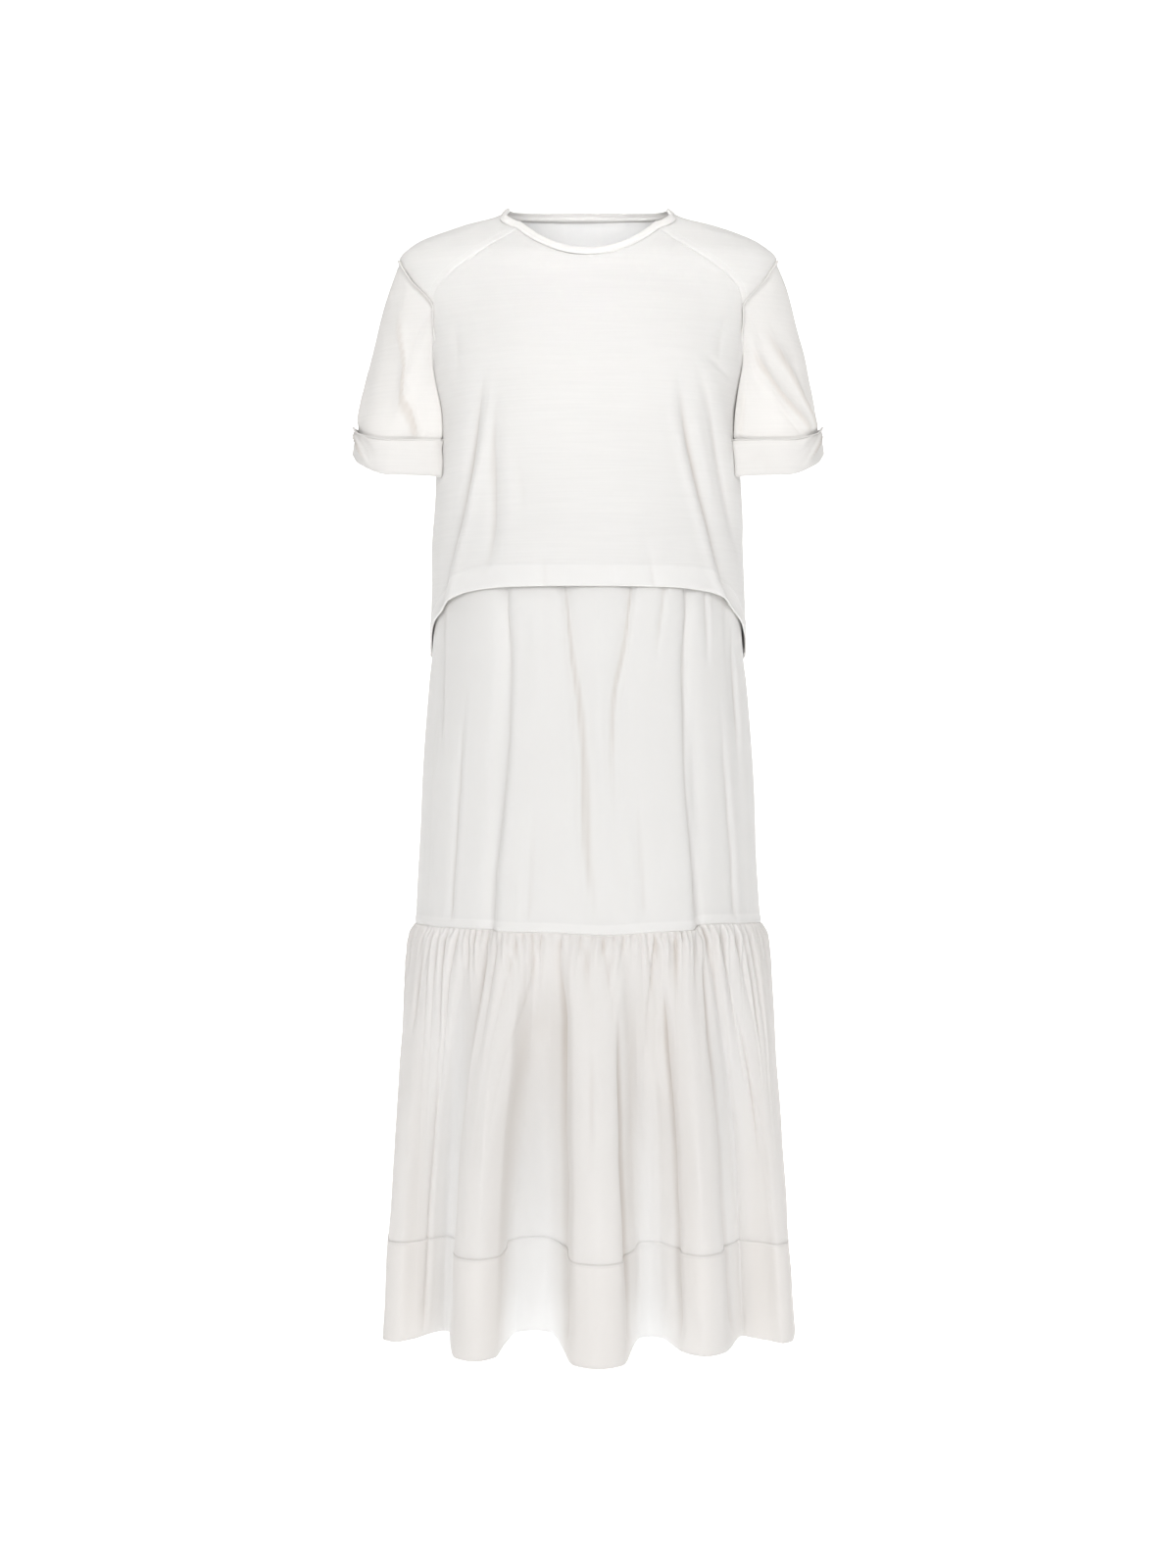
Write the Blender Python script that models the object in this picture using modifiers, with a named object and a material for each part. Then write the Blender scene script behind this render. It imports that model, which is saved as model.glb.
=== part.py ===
"""Tiered midi dress, filled out as if worn: a boxy jersey top over a gathered poplin skirt.

Metres, +Z up, the front faces -Y. The origin is the middle of the neck at the height of the
shoulder points nearest the neck. Every piece is a wall of cloth: a sheet is laid out flat as a
grid, each grid point is placed by the piece's own rule, and Solidify gives the sheet its wall.
"""
import math
import random

import bmesh
import bpy
from mathutils import Vector

# ---------------------------------------------------------------- driving dimensions
JERSEY_WALL = 0.0012         # single jersey
POPLIN_WALL = 0.0010         # single poplin
BAND_WALL = 0.0022           # poplin folded double
BINDING_WALL = 0.0022        # bound edge, cloth over cloth
CASING_WALL = 0.0015
SEAM = 0.0003                # clear space left where two pieces are sewn
SEAM_ON_A_BEND = 0.0006      # the same between the middles of two walls that meet at an angle
BINDING_SEAM = 0.0016        # and where the thick binding meets the sloping shoulder
FLOUNCE_SEAM = 0.0009        # and between the gathered edges of the flounce

ROUNDNESS = 2.3              # 2 is an ellipse, more is boxier
HALF_TURN = 90.0             # degrees from the centre line to a side seam

NECK_HALF = 0.0765           # the front saddle seam meets the neckline this far from the middle
NECK_SHARE = 10 / 24         # part of a panel's half width that ends at the neckline
NECK_PANEL_PART = 0.74       # part of a quarter of the neckline that is the panel's, not the saddle's
NECK_CURVE = 2.2             # how late the neckline turns up towards the shoulder
NECK_FRONT_DROP = 0.0655
NECK_SIDE_DROP = 0.0300      # at the front saddle seam
NECK_BACK_RISE = 0.0020
NECK_BACK_SIDE = -0.0020     # at the back saddle seam
BINDING_WIDTH = 0.0065
BINDING_SPREAD = 1.06        # the binding leans in: the line it comes up from is this much wider,
BINDING_FALL = 0.0042        # this far below at the ridges,
BINDING_STEEPENS = 0.058     # and further below the further it is from the ridges

UNDERARM_Z = -0.225
EDGE_LEAN = 1.5              # how late the panel's columns lean in above the underarm
UNDERARM_SHARE = 0.71        # how far up a panel's side edge the underarm is
SLEEVE_BEYOND = 0.0010       # from the armhole's edge to the sleeve's, where they run on
SLEEVE_OUTSIDE = 0.0017      # and where the sleeve folds back down over the panel
HEM_TURN_SHARE = 0.062       # the turned hem's part of a panel's height

WAIST_TOP_Z = -0.352
WAIST_Z = -0.3725
TIER_Z = -0.7845             # the seam between the two skirt tiers
BAND_TOP_DROP = 0.340        # from the tier seam down to the deep band
HEM_DROP = 0.4465            # from the tier seam down to the hem
SEAM_ALLOWANCE = 0.010

GATHERS = 132                # fine gathers all round the tier seam
GATHER_FADE = 0.024          # drop over which they fade to about a third
SEAM_SHAPE_FADE = 0.050      # drop over which the flounce lets go of the seam's own shape

CUFF_SPACE = 0.0026          # between the middles of a cuff's outer layer and the sleeve
CUFF_FOLD = 0.0022           # how far the fold hangs below the turned edge
CUFF_INNER_HEIGHT = 0.016
CUFF_JOIN = 0.0013           # hidden inside the cuff, where two unlike rings meet end to end
FOLD_START = 0.72            # where the cuff's strip begins to turn under, 1 at the fold's bottom
FOLD_END = 1.28

PANEL_COLUMNS = 24
SADDLE_COLUMNS = 8
SADDLE_ROWS = 7              # matches the panel's columns along the seam
SKIRT_COLUMNS = 44
CUFF_COLUMNS = 26
BINDING_COLUMNS = 40
ARMHOLE_CLIMB = (0.0, 0.05, 0.13, 0.25, 0.43, 0.64, 0.82, 1.0)   # rows up the armhole
TOP_EDGE_TRIM = 0.0005       # shares of a piece's height drawn back at its sewn edge
SADDLE_TRIM = 0.008


class Table:
    """Rows under named columns, joined by smooth curves that don't swing past the rows."""

    def __init__(self, columns, rows, turn=None):
        rows = sorted(rows)
        width = len(columns.split())
        for row in rows:
            assert len(row) == width, "each row needs " + columns
        if turn:
            before = [(row[0] - turn,) + tuple(row[1:]) for row in rows[-3:]]
            after = [(row[0] + turn,) + tuple(row[1:]) for row in rows[:3]]
            rows = before + rows + after
        self.keys = [row[0] for row in rows]
        self.values = list(zip(*[row[1:] for row in rows]))
        self.slopes = [self.slopes_of(values) for values in self.values]

    def slopes_of(self, values):
        keys = self.keys
        steep = []
        for i in range(len(keys) - 1):
            steep.append((values[i + 1] - values[i]) / (keys[i + 1] - keys[i]))
        slopes = [steep[0]]
        for before, after in zip(steep, steep[1:]):
            level = before * after <= 0
            slopes.append(0.0 if level else 2 * before * after / (before + after))
        slopes.append(steep[-1])
        return slopes

    def read(self, key):
        keys = self.keys
        key = min(max(key, keys[0]), keys[-1])
        i = 0
        while i < len(keys) - 2 and key > keys[i + 1]:
            i += 1
        span = keys[i + 1] - keys[i]
        t = (key - keys[i]) / span
        found = []
        for values, slopes in zip(self.values, self.slopes):
            found.append(hermite(values[i], values[i + 1], slopes[i] * span, slopes[i + 1] * span, t))
        return found


def hermite(start, end, leave, arrive, t):
    """A smooth run from start to end that leaves and arrives at the given slopes."""
    return ((2 * t ** 3 - 3 * t ** 2 + 1) * start + (t ** 3 - 2 * t ** 2 + t) * leave
            + (3 * t ** 2 - 2 * t ** 3) * end + (t ** 3 - t ** 2) * arrive)


# The top's level sections, from the neck down to the hem.
TOP = Table("z half front back", [
    (0.004, 0.080, 0.012, 0.0520),
    (-0.009, 0.103, 0.022, 0.0580),
    (-0.020, 0.141, 0.031, 0.0640),
    (-0.039, 0.189, 0.046, 0.0720),
    (-0.058, 0.207, 0.062, 0.0790),
    (-0.085, 0.204, 0.077, 0.0870),
    (-0.1165, 0.190, 0.096, 0.0930),
    (-0.150, 0.183, 0.113, 0.0970),
    (-0.190, 0.175, 0.129, 0.0990),
    (-0.240, 0.1645, 0.1383, 0.1000),
    (-0.310, 0.1672, 0.139, 0.0985),
    (-0.380, 0.1702, 0.1405, 0.0985),
    (-0.440, 0.1722, 0.1430, 0.1010),
    (-0.520, 0.1740, 0.1450, 0.1050)])

# How high the shoulder's ridge is, from the neck out to the sleeve seam.
RIDGE = Table("share z", [
    (0.00, -0.0045),
    (0.12, -0.0098),
    (0.44, -0.0197),
    (0.66, -0.0290),
    (0.86, -0.0390),
    (1.00, -0.0570)])

# Where the front and back saddle seams run, from the neckline out to the armhole.
SADDLE_SEAM = {
    1: Table("share x z", [
        (0.00, NECK_HALF, -NECK_SIDE_DROP),
        (0.40, 0.1200, -0.0627),
        (0.70, 0.1497, -0.0849),
        (0.90, 0.1640, -0.1040),
        (1.00, 0.1666, -0.1165)]),
    -1: Table("share x z", [
        (0.00, NECK_HALF, NECK_BACK_SIDE),
        (0.40, 0.1200, -0.0400),
        (0.70, 0.1497, -0.0700),
        (0.90, 0.1640, -0.0980),
        (1.00, 0.1666, -0.1165)])}

# The top's hem: high and flat at the centre front, down to the side seams, a little lower behind.
TOP_HEM = {
    1: Table("side z", [
        (0.00, -0.4270),
        (0.30, -0.4272),
        (0.50, -0.4300),
        (0.66, -0.4400),
        (0.80, -0.4560),
        (0.92, -0.4740),
        (1.00, -0.4905)]),
    -1: Table("side z", [
        (0.00, -0.5060),
        (0.60, -0.5020),
        (1.00, -0.4905)])}

# The upper skirt's level sections.
SKIRT = Table("z half front back", [
    (WAIST_Z, 0.1682, 0.1386, 0.0968),
    (-0.400, 0.1672, 0.1310, 0.0930),
    (-0.440, 0.1680, 0.1265, 0.0910),
    (-0.490, 0.1702, 0.1270, 0.0920),
    (-0.520, 0.1735, 0.1290, 0.0950),
    (-0.590, 0.1790, 0.1340, 0.1010),
    (-0.690, 0.1845, 0.1420, 0.1090),
    (-0.800, 0.1885, 0.1500, 0.1180)])

# Creases in the upper skirt, in degrees round from the centre front, deeper where gathered full.
SKIRT_CREASES = (
    # at waist, at seam, depth at waist, depth at seam, width in degrees
    (-25.8, -28.6, 0.0050, 0.0070, 3.4),
    (-6.6, 1.8, 0.0050, 0.0015, 3.2),
    (13.0, 4.5, 0.0050, 0.0000, 3.2),
    (33.8, 34.4, 0.0050, 0.0070, 3.4),
    (59.0, 62.0, 0.0030, 0.0020, 4.0),
    (-67.0, -66.0, 0.0030, 0.0020, 4.0),
    (114.0, 118.0, 0.0035, 0.0040, 4.0),
    (141.0, 146.0, 0.0050, 0.0060, 3.4),
    (166.0, 162.0, 0.0045, 0.0020, 3.2),
    (-172.0, -175.0, 0.0050, 0.0050, 3.4),
    (-149.0, -145.0, 0.0045, 0.0060, 3.4),
    (-121.0, -116.0, 0.0035, 0.0030, 4.0))
CENTRE_FORWARD = 0.011       # how far the middle of the front stands ahead of its two outer creases
CENTRE_EDGES = (-28.6, 34.4)
CENTRE_EDGE_SOFTNESS = 3.0   # degrees

# The flounce before its folds, by the drop below the tier seam.
FLOUNCE = Table("drop half front back", [
    (0.000, 0.1880, 0.1490, 0.1170),
    (0.017, 0.1938, 0.1560, 0.1240),
    (0.050, 0.1985, 0.1600, 0.1300),
    (0.200, 0.2075, 0.1500, 0.1300),
    (0.460, 0.2230, 0.1250, 0.1200)])

# Where the hem runs over the floor plan: a row for each fold's crest and each hollow between,
# with the stretch it takes round the body, the width it reaches over and how far out it stands.
HEM_FOLDS = (
    # round from, round to, x from, x to, y at its ends, y in its middle, rise
    (-70.0, -54.0, -0.2205, -0.1900, -0.052, -0.063, 0.000),
    (-41.0, -36.0, -0.1640, -0.1520, -0.034, -0.030, 0.003),
    (-29.0, -17.0, -0.1390, -0.0980, -0.126, -0.140, 0.000),
    (-11.5, -7.5, -0.0770, -0.0410, -0.040, -0.033, 0.004),
    (-3.0, 5.5, -0.0150, 0.0360, -0.144, -0.157, -0.003),
    (11.5, 17.5, 0.0560, 0.0790, -0.056, -0.050, 0.002),
    (23.0, 31.5, 0.1030, 0.1430, -0.108, -0.121, 0.000),
    (38.0, 42.0, 0.1650, 0.1720, -0.043, -0.040, 0.000),
    (54.0, 70.0, 0.1960, 0.2200, -0.060, -0.070, 0.000),
    (89.0, 91.0, 0.2262, 0.2262, 0.000, 0.000, 0.000),
    (112.0, 126.0, 0.2280, 0.2000, 0.076, 0.086, 0.000),
    (134.0, 138.5, 0.1700, 0.1600, 0.053, 0.049, 0.002),
    (146.0, 156.0, 0.1300, 0.0860, 0.114, 0.127, 0.000),
    (163.0, 169.0, 0.0580, 0.0340, 0.052, 0.046, 0.003),
    (176.0, 186.0, 0.0120, -0.0380, 0.124, 0.136, -0.002),
    (192.0, 198.0, -0.0570, -0.0790, 0.051, 0.045, 0.003),
    (205.0, 215.0, -0.1020, -0.1430, 0.110, 0.123, 0.000),
    (225.0, 231.0, -0.1640, -0.1750, 0.051, 0.047, 0.000),
    (240.0, 254.0, -0.1980, -0.2170, 0.070, 0.080, 0.000),
    (268.0, 270.0, -0.2240, -0.2240, 0.000, 0.000, 0.000))


def hem_plan():
    rows = []
    for start, end, x_start, x_end, y_ends, y_middle, rise in HEM_FOLDS:
        rows.append((start, x_start, y_ends, rise))
        rows.append(((start + end) / 2, (x_start + x_end) / 2, y_middle, rise))
        rows.append((end, x_end, y_ends, rise))
    return Table("round x y rise", rows, turn=360.0)


HEM_PLAN = hem_plan()

FOLD_GROWTH = Table("drop share", [
    (0.000, 0.00),
    (0.050, 0.12),
    (0.130, 0.48),
    (0.260, 0.84),
    (0.4465, 1.00)])

# The sleeve's end and the cuff, by degrees round the arm: 0 outer, 90 front, 180 inner.
ARM_MIDDLE_X = 0.2122
ARM_HALF_WIDTH = 0.0402
ARM_HALF_DEPTH = 0.0660
INNER_ROUNDNESS = 3.4        # the arm's inner half is boxier, where it lies beside the body
CUFF_BOTTOM = Table("round z", [
    (0.0, -0.2690),
    (45.0, -0.2860),
    (90.0, -0.3000),
    (135.0, -0.3010),
    (180.0, -0.2905),
    (270.0, -0.2715)], turn=360.0)
CUFF_TOP = Table("round z", [
    (0.0, -0.2410),
    (45.0, -0.2560),
    (90.0, -0.2650),
    (135.0, -0.2640),
    (180.0, -0.2540),
    (270.0, -0.2370)], turn=360.0)
CUFF_FLARE = 0.0035          # how much wider the cuff is at its fold than at its free edge
SLEEVE_FULLNESS = 0.0045     # how far the sleeve swells past a straight run
SLEEVE_ABOVE_CUFF = 0.0040
TUCK_ROUND = 22.0            # degrees round to the small tuck that catches the cuff
TUCK_DEPTH = 0.0018
TUCK_WIDTH = 18.0            # degrees


# ---------------------------------------------------------------- the forms that the pieces lie on
def bend(value, power):
    return math.copysign(abs(value) ** power, value)


def section(half, front, back, round_deg):
    """A point on a level section, round_deg from the centre front towards +X."""
    turn = math.radians(round_deg)
    depth = front if math.cos(turn) >= 0 else back
    return half * bend(math.sin(turn), 2 / ROUNDNESS), -depth * bend(math.cos(turn), 2 / ROUNDNESS)


def top_point(round_deg, z, inset=0.0):
    half, front, back = TOP.read(z)
    x, y = section(half - inset, front - inset, back - inset, round_deg)
    return x, y, z


def round_at(x, z):
    """Degrees from the centre line at which the top's section is x wide."""
    half = TOP.read(z)[0]
    return math.degrees(math.asin(min(1.0, (x / half) ** (ROUNDNESS / 2))))


def panel_top(side, share):
    """The top edge of the front (side 1) or back (side -1) at a share of its half width."""
    if share > NECK_SHARE:
        return SADDLE_SEAM[side].read((share - NECK_SHARE) / (1 - NECK_SHARE))
    middle_z = -NECK_FRONT_DROP if side == 1 else NECK_BACK_RISE
    side_z = -NECK_SIDE_DROP if side == 1 else NECK_BACK_SIDE
    across = share / NECK_SHARE
    return across * NECK_HALF, middle_z + (side_z - middle_z) * across ** NECK_CURVE


def panel_point(side, across, up):
    """A point of the front or back panel: across -1 to 1, up 0 at the hem to 1 at the top edge."""
    share = abs(across)
    edge_x, edge_z = panel_top(side, share)
    hem_z = TOP_HEM[side].read(share)[0]
    z = hem_z + (edge_z - hem_z) * up
    turned = HALF_TURN * share
    if z > UNDERARM_Z:
        lean = ((z - UNDERARM_Z) / (edge_z - UNDERARM_Z)) ** EDGE_LEAN
        low_x = top_point(turned, UNDERARM_Z)[0]
        turned = round_at(low_x + (edge_x - low_x) * lean, z)
    turned = math.copysign(turned, across)
    x, y, z = top_point(turned if side == 1 else 180 - turned, z)
    return x, y - side * SEAM / 2, z


def away(point, other, distance):
    """The point moved by a distance, straight away from another point."""
    gap = math.dist(point, other)
    return tuple(p + (p - o) * distance / gap for p, o in zip(point, other))


def saddle_point(hand, out, over):
    """A point of the saddle piece: out 0 at the neck to 1 at the sleeve, over -1 back to 1 front."""
    side = 1 if over >= 0 else -1
    seam_x, seam_z = SADDLE_SEAM[side].read(out)
    ridge_z = RIDGE.read(out)[0]
    turned = HALF_TURN + (round_at(seam_x, seam_z) - HALF_TURN) * abs(over)
    z = ridge_z + (seam_z - ridge_z) * over ** 2
    x, y, z = top_point(turned if side == 1 else 180 - turned, z)
    return hand * x, y, z


def neck_edge(around):
    """The neckline at 0 to 4: front middle 0, right ridge 1, back middle 2, left ridge 3."""
    hand = 1 if around <= 2 else -1
    along = around if around <= 2 else 4 - around
    front = along <= 1
    side = 1 if front else -1
    reach = along if front else 2 - along
    if reach <= NECK_PANEL_PART:
        return panel_point(side, hand * NECK_SHARE * reach / NECK_PANEL_PART, 1.0)
    over = side * (1 - (reach - NECK_PANEL_PART) / (1 - NECK_PANEL_PART))
    return saddle_point(hand, 0.0, over)


def neck_below(around):
    """A point a little outside the neckline and below it, to give the binding its slope."""
    x, y, z = neck_edge(around)
    return x * BINDING_SPREAD, y * BINDING_SPREAD, z - BINDING_FALL - BINDING_STEEPENS * abs(y)


def arm_section(round_deg, z, swell):
    """A point on the ring that the right sleeve ends in, dented where the cuff is caught down."""
    turn = math.radians(round_deg)
    off_tuck = (round_deg - TUCK_ROUND + 180) % 360 - 180
    swell -= TUCK_DEPTH * math.exp(-(off_tuck / TUCK_WIDTH) ** 2)
    roundness = INNER_ROUNDNESS if math.cos(turn) < 0 else ROUNDNESS
    x = ARM_MIDDLE_X + (ARM_HALF_WIDTH + swell) * bend(math.cos(turn), 2 / roundness)
    y = -(ARM_HALF_DEPTH + swell) * bend(math.sin(turn), 2 / roundness)
    return Vector((x, y, z))


def armhole_edge(around):
    """The right armhole: 0 at the underarm, up the front, over the shoulder, down the back to 3."""
    if 1 < around < 2:
        return Vector(saddle_point(1, 1.0, 3 - 2 * around))
    side = 1 if around <= 1 else -1
    climb = around if around <= 1 else 3 - around
    x, y, z = panel_point(side, 1, UNDERARM_SHARE + (1 - UNDERARM_SHARE) * climb)
    return Vector((x, y if 0 < around < 3 else 0.0, z))


def form_normal(point):
    """The way the top's form faces at a point on its right half."""
    turned = round_at(point.x, point.z)
    if point.y > 0:
        turned = 180 - turned
    ahead = Vector(top_point(turned + 1, point.z)) - Vector(top_point(turned - 1, point.z))
    upward = Vector(top_point(turned, point.z + 0.001)) - Vector(top_point(turned, point.z - 0.001))
    return ahead.cross(upward).normalized()


def sleeve_start(around, target):
    """The sleeve's first row: beyond the armhole's edge, or outside it where the sleeve folds back."""
    edge = armhole_edge(around)
    ahead = armhole_edge((around + 0.01) % 3) - armhole_edge((around - 0.01) % 3)
    normal = form_normal(edge)
    beyond = ahead.cross(normal).normalized()
    folded = (1 - (target - edge).normalized().dot(beyond)) / 2
    return edge + beyond * SLEEVE_BEYOND * (1 - folded) + normal * SLEEVE_OUTSIDE * folded


SLEEVE_ROUND = Table("around round", [
    (0.0, 180.0),
    (0.5, 122.0),
    (1.0, 72.0),
    (1.5, 0.0),
    (2.0, -72.0),
    (2.5, -122.0),
    (3.0, -180.0)])


def sleeve_point(hand, around, down):
    """A point of the sleeve: down 0 at the armhole, 1 at the cuff's free edge, 2 inside the cuff."""
    round_deg = SLEEVE_ROUND.read(around)[0]
    turn = round_deg % 360
    cuff_z = CUFF_TOP.read(turn)[0] + SLEEVE_ABOVE_CUFF
    end_z = CUFF_BOTTOM.read(turn)[0] + CUFF_INNER_HEIGHT + CUFF_JOIN
    if down > 1:
        x, y, z = arm_section(round_deg, cuff_z + (end_z - cuff_z) * (down - 1), 0.0)
        return hand * x, y, z
    target = arm_section(round_deg, cuff_z, 0.0)
    x, y, z = sleeve_start(around, target).lerp(target, down)
    outer = 0.5 + 0.5 * math.cos(math.radians(round_deg))
    swell = SLEEVE_FULLNESS * math.sin(math.pi * down ** 0.8) * outer
    return hand * (x + swell), y, z


def cuff_point(hand, round_deg, strip):
    """A point of the turned-up cuff: strip 0 at the free edge, 1 at the fold, 2 at the inner edge."""
    turn = round_deg % 360
    top_z = CUFF_TOP.read(turn)[0]
    fold_z = CUFF_BOTTOM.read(turn)[0]
    swing = math.pi * min(max(strip - FOLD_START, 0.0) / (FOLD_END - FOLD_START), 1.0)
    layer = CUFF_SPACE * (0.5 + 0.5 * math.cos(swing))
    flare = CUFF_FLARE * min(strip, 2 - strip) * (0.5 + 0.5 * math.cos(math.radians(round_deg)))
    if strip <= FOLD_START:
        z = top_z + (fold_z - top_z) * strip / FOLD_START
    elif strip <= FOLD_END:
        z = fold_z - CUFF_FOLD * math.sin(swing)
    else:
        z = fold_z + CUFF_INNER_HEIGHT * (strip - FOLD_END) / (2 - FOLD_END)
    x, y, z = arm_section(round_deg, z, layer + flare)
    return hand * x, y, z


def skirt_point(round_deg, z):
    half, front, back = SKIRT.read(z)
    x, y = section(half, front, back, round_deg)
    down = (WAIST_Z - z) / (WAIST_Z - TIER_Z)
    push = 0.0
    for waist_at, seam_at, waist_depth, seam_depth, width in SKIRT_CREASES:
        at = waist_at + (seam_at - waist_at) * down
        off = (round_deg - at + 180) % 360 - 180
        depth = (waist_depth + (seam_depth - waist_depth) * down) * min(1.0, down * 6)
        push -= depth * math.exp(-(off / width) ** 2)
    left, right = CENTRE_EDGES
    inside = 1 / (1 + math.exp(-(round_deg - left) / CENTRE_EDGE_SOFTNESS * 2))
    inside -= 1 / (1 + math.exp(-(round_deg - right) / CENTRE_EDGE_SOFTNESS * 2))
    push += CENTRE_FORWARD * inside * down ** 1.5
    size = math.hypot(x, y)
    return x * (1 + push / size), y * (1 + push / size), z


def flounce_rings(round_deg, drop):
    half, front, back = FLOUNCE.read(drop)
    return section(half, front, back, round_deg)


def gather_heights():
    """One height for each fine gather, a little uneven, the same on every run."""
    chance = random.Random(11)
    return [chance.uniform(0.0010, 0.0019) for _ in range(GATHERS + 1)]


GATHER_HEIGHTS = gather_heights()


def flounce_point(round_deg, drop):
    x, y = flounce_rings(round_deg, drop)
    share = FOLD_GROWTH.read(drop)[0]
    plan_round = round_deg if round_deg > -90 else round_deg + 360
    hem_x, hem_y, rise = HEM_PLAN.read(plan_round)
    flat_x, flat_y = flounce_rings(round_deg, HEM_DROP)
    x += (hem_x - flat_x) * share
    y += (hem_y - flat_y) * share
    seam_x, seam_y, _ = skirt_point(round_deg, TIER_Z)
    ring_x, ring_y = flounce_rings(round_deg, 0.0)
    kept = math.exp(-drop / SEAM_SHAPE_FADE)
    x += (seam_x - ring_x) * kept
    y += (seam_y - ring_y) * kept
    count = (round_deg + HALF_TURN) / 360 * GATHERS
    wave = math.cos(2 * math.pi * count) * GATHER_HEIGHTS[int(abs(count) + 0.5) % GATHERS]
    wave *= math.exp(-drop / GATHER_FADE)
    size = math.hypot(x, y)
    return x * (1 + wave / size), y * (1 + wave / size), TIER_Z - drop + rise * share * drop / HEM_DROP


# ---------------------------------------------------------------- making the pieces
def wipe():
    for thing in list(bpy.data.objects):
        bpy.data.objects.remove(thing, do_unlink=True)


def cloth_material(name, colour, roughness):
    material = bpy.data.materials.new(name)
    material.use_nodes = True
    shader = material.node_tree.nodes["Principled BSDF"]
    shader.inputs["Base Color"].default_value = (*colour, 1.0)
    shader.inputs["Roughness"].default_value = roughness
    shader.inputs["Metallic"].default_value = 0.0
    return material


def spaced(first, last, count):
    return [first + (last - first) * i / count for i in range(count + 1)]


def read_list(values, index):
    """A value between two entries of a list."""
    low = min(int(index), len(values) - 2)
    return values[low] + (values[low + 1] - values[low]) * (index - low)


def face_out(mesh, middle):
    """Turn the whole sheet over if its face furthest from the middle looks inwards."""
    mesh.normal_update()

    def reach(face):
        centre = face.calc_center_median()
        return math.hypot(centre.x - middle[0], centre.y - middle[1])

    furthest = max(mesh.faces, key=reach)
    centre = furthest.calc_center_median()
    outward = (centre.x - middle[0]) * furthest.normal.x + (centre.y - middle[1]) * furthest.normal.y
    if outward < 0:
        bmesh.ops.reverse_faces(mesh, faces=mesh.faces[:])


def cloth_piece(name, across, along, place, wall, material, middle=(0.0, 0.0), ring=False,
                fine_rows=0, double_rows=0, double=1.0):
    """A piece of cloth: a flat grid, placed point by point by the piece's rule, then walled.

    across and along are the grid's own lines; fine_rows is how many rows at the first end have
    twice the columns; double_rows is how many rows at the first end are a turned, double edge.
    """
    columns = len(across) - 1
    rows = len(along) - 1
    mesh = bmesh.new()
    bmesh.ops.create_grid(mesh, x_segments=columns, y_segments=rows, size=0.5)
    if fine_rows:
        finer = []
        for edge in mesh.edges:
            first, second = edge.verts
            row = (first.co.y + 0.5) * rows
            if abs(first.co.y - second.co.y) < 1e-6 and row < fine_rows + 0.5:
                finer.append(edge)
        bmesh.ops.subdivide_edges(mesh, edges=finer, cuts=1, use_grid_fill=True)
    thick = []
    for vertex in mesh.verts:
        column = (vertex.co.x + 0.5) * columns
        row = (vertex.co.y + 0.5) * rows
        thick.append(1.0 if row < double_rows + 0.5 else 1 / double)
        vertex.co = place(read_list(across, column), read_list(along, row))
    if ring:
        bmesh.ops.remove_doubles(mesh, verts=mesh.verts[:], dist=0.0001)
    face_out(mesh, middle)
    data = bpy.data.meshes.new(name)
    mesh.to_mesh(data)
    mesh.free()
    data.materials.append(material)
    data.shade_smooth()
    piece = bpy.data.objects.new(name, data)
    dress.objects.link(piece)
    cloth = piece.modifiers.new("wall", "SOLIDIFY")
    cloth.thickness = wall * double
    cloth.offset = 0.0
    cloth.use_even_offset = True
    if double > 1.0:
        group = piece.vertex_groups.new(name="double cloth")
        for index, weight in enumerate(thick):
            group.add([index], weight, "REPLACE")
        cloth.vertex_group = group.name
    return piece


def body_panel(name, side, material):
    up = [0.0, HEM_TURN_SHARE, HEM_TURN_SHARE + 0.004, 0.22, 0.38, 0.52, 0.63]
    for climb in ARMHOLE_CLIMB:
        up.append(UNDERARM_SHARE + (1 - UNDERARM_SHARE) * climb)
    up[-1] -= TOP_EDGE_TRIM

    def place(across, share):
        return panel_point(side, across, share)

    cloth_piece(name, spaced(-1.0, 1.0, PANEL_COLUMNS), up, place, JERSEY_WALL, material,
                double_rows=1, double=1.8)


def saddle(name, hand, material):
    def place(out, over):
        return saddle_point(hand, out, over)

    across = spaced(-1.0, 1.0, SADDLE_COLUMNS)
    across[0] += SADDLE_TRIM
    across[-1] -= SADDLE_TRIM
    cloth_piece(name, spaced(0.0, 1.0, SADDLE_ROWS), across, place, JERSEY_WALL, material)


def sleeve(name, hand, material):
    around = list(ARMHOLE_CLIMB)
    around += spaced(1.0, 2.0, SADDLE_COLUMNS)[1:-1]
    around += [3 - climb for climb in reversed(ARMHOLE_CLIMB)]

    def place(column, down):
        return sleeve_point(hand, column, down)

    cloth_piece(name, around, [0.0, 0.14, 0.38, 0.68, 1.0, 2.0], place, JERSEY_WALL, material,
                middle=(hand * ARM_MIDDLE_X, 0.0), ring=True)


def cuff(name, hand, material):
    strips = [0.0, 0.36, 0.72, 0.86, 1.0, 1.14, 1.28, 2.0]

    def place(round_deg, strip):
        return cuff_point(hand, round_deg, strip)

    cloth_piece(name, spaced(0.0, 360.0, CUFF_COLUMNS), strips, place, JERSEY_WALL, material,
                middle=(hand * ARM_MIDDLE_X, 0.0), ring=True)


def binding(name, material):
    def place(around, up):
        edge = neck_edge(around % 4)
        return away(edge, neck_below(around % 4), BINDING_SEAM + BINDING_WIDTH * up)

    cloth_piece(name, spaced(0.0, 4.0, BINDING_COLUMNS), [0.0, 0.5, 1.0], place, BINDING_WALL,
                material, ring=True)


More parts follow.
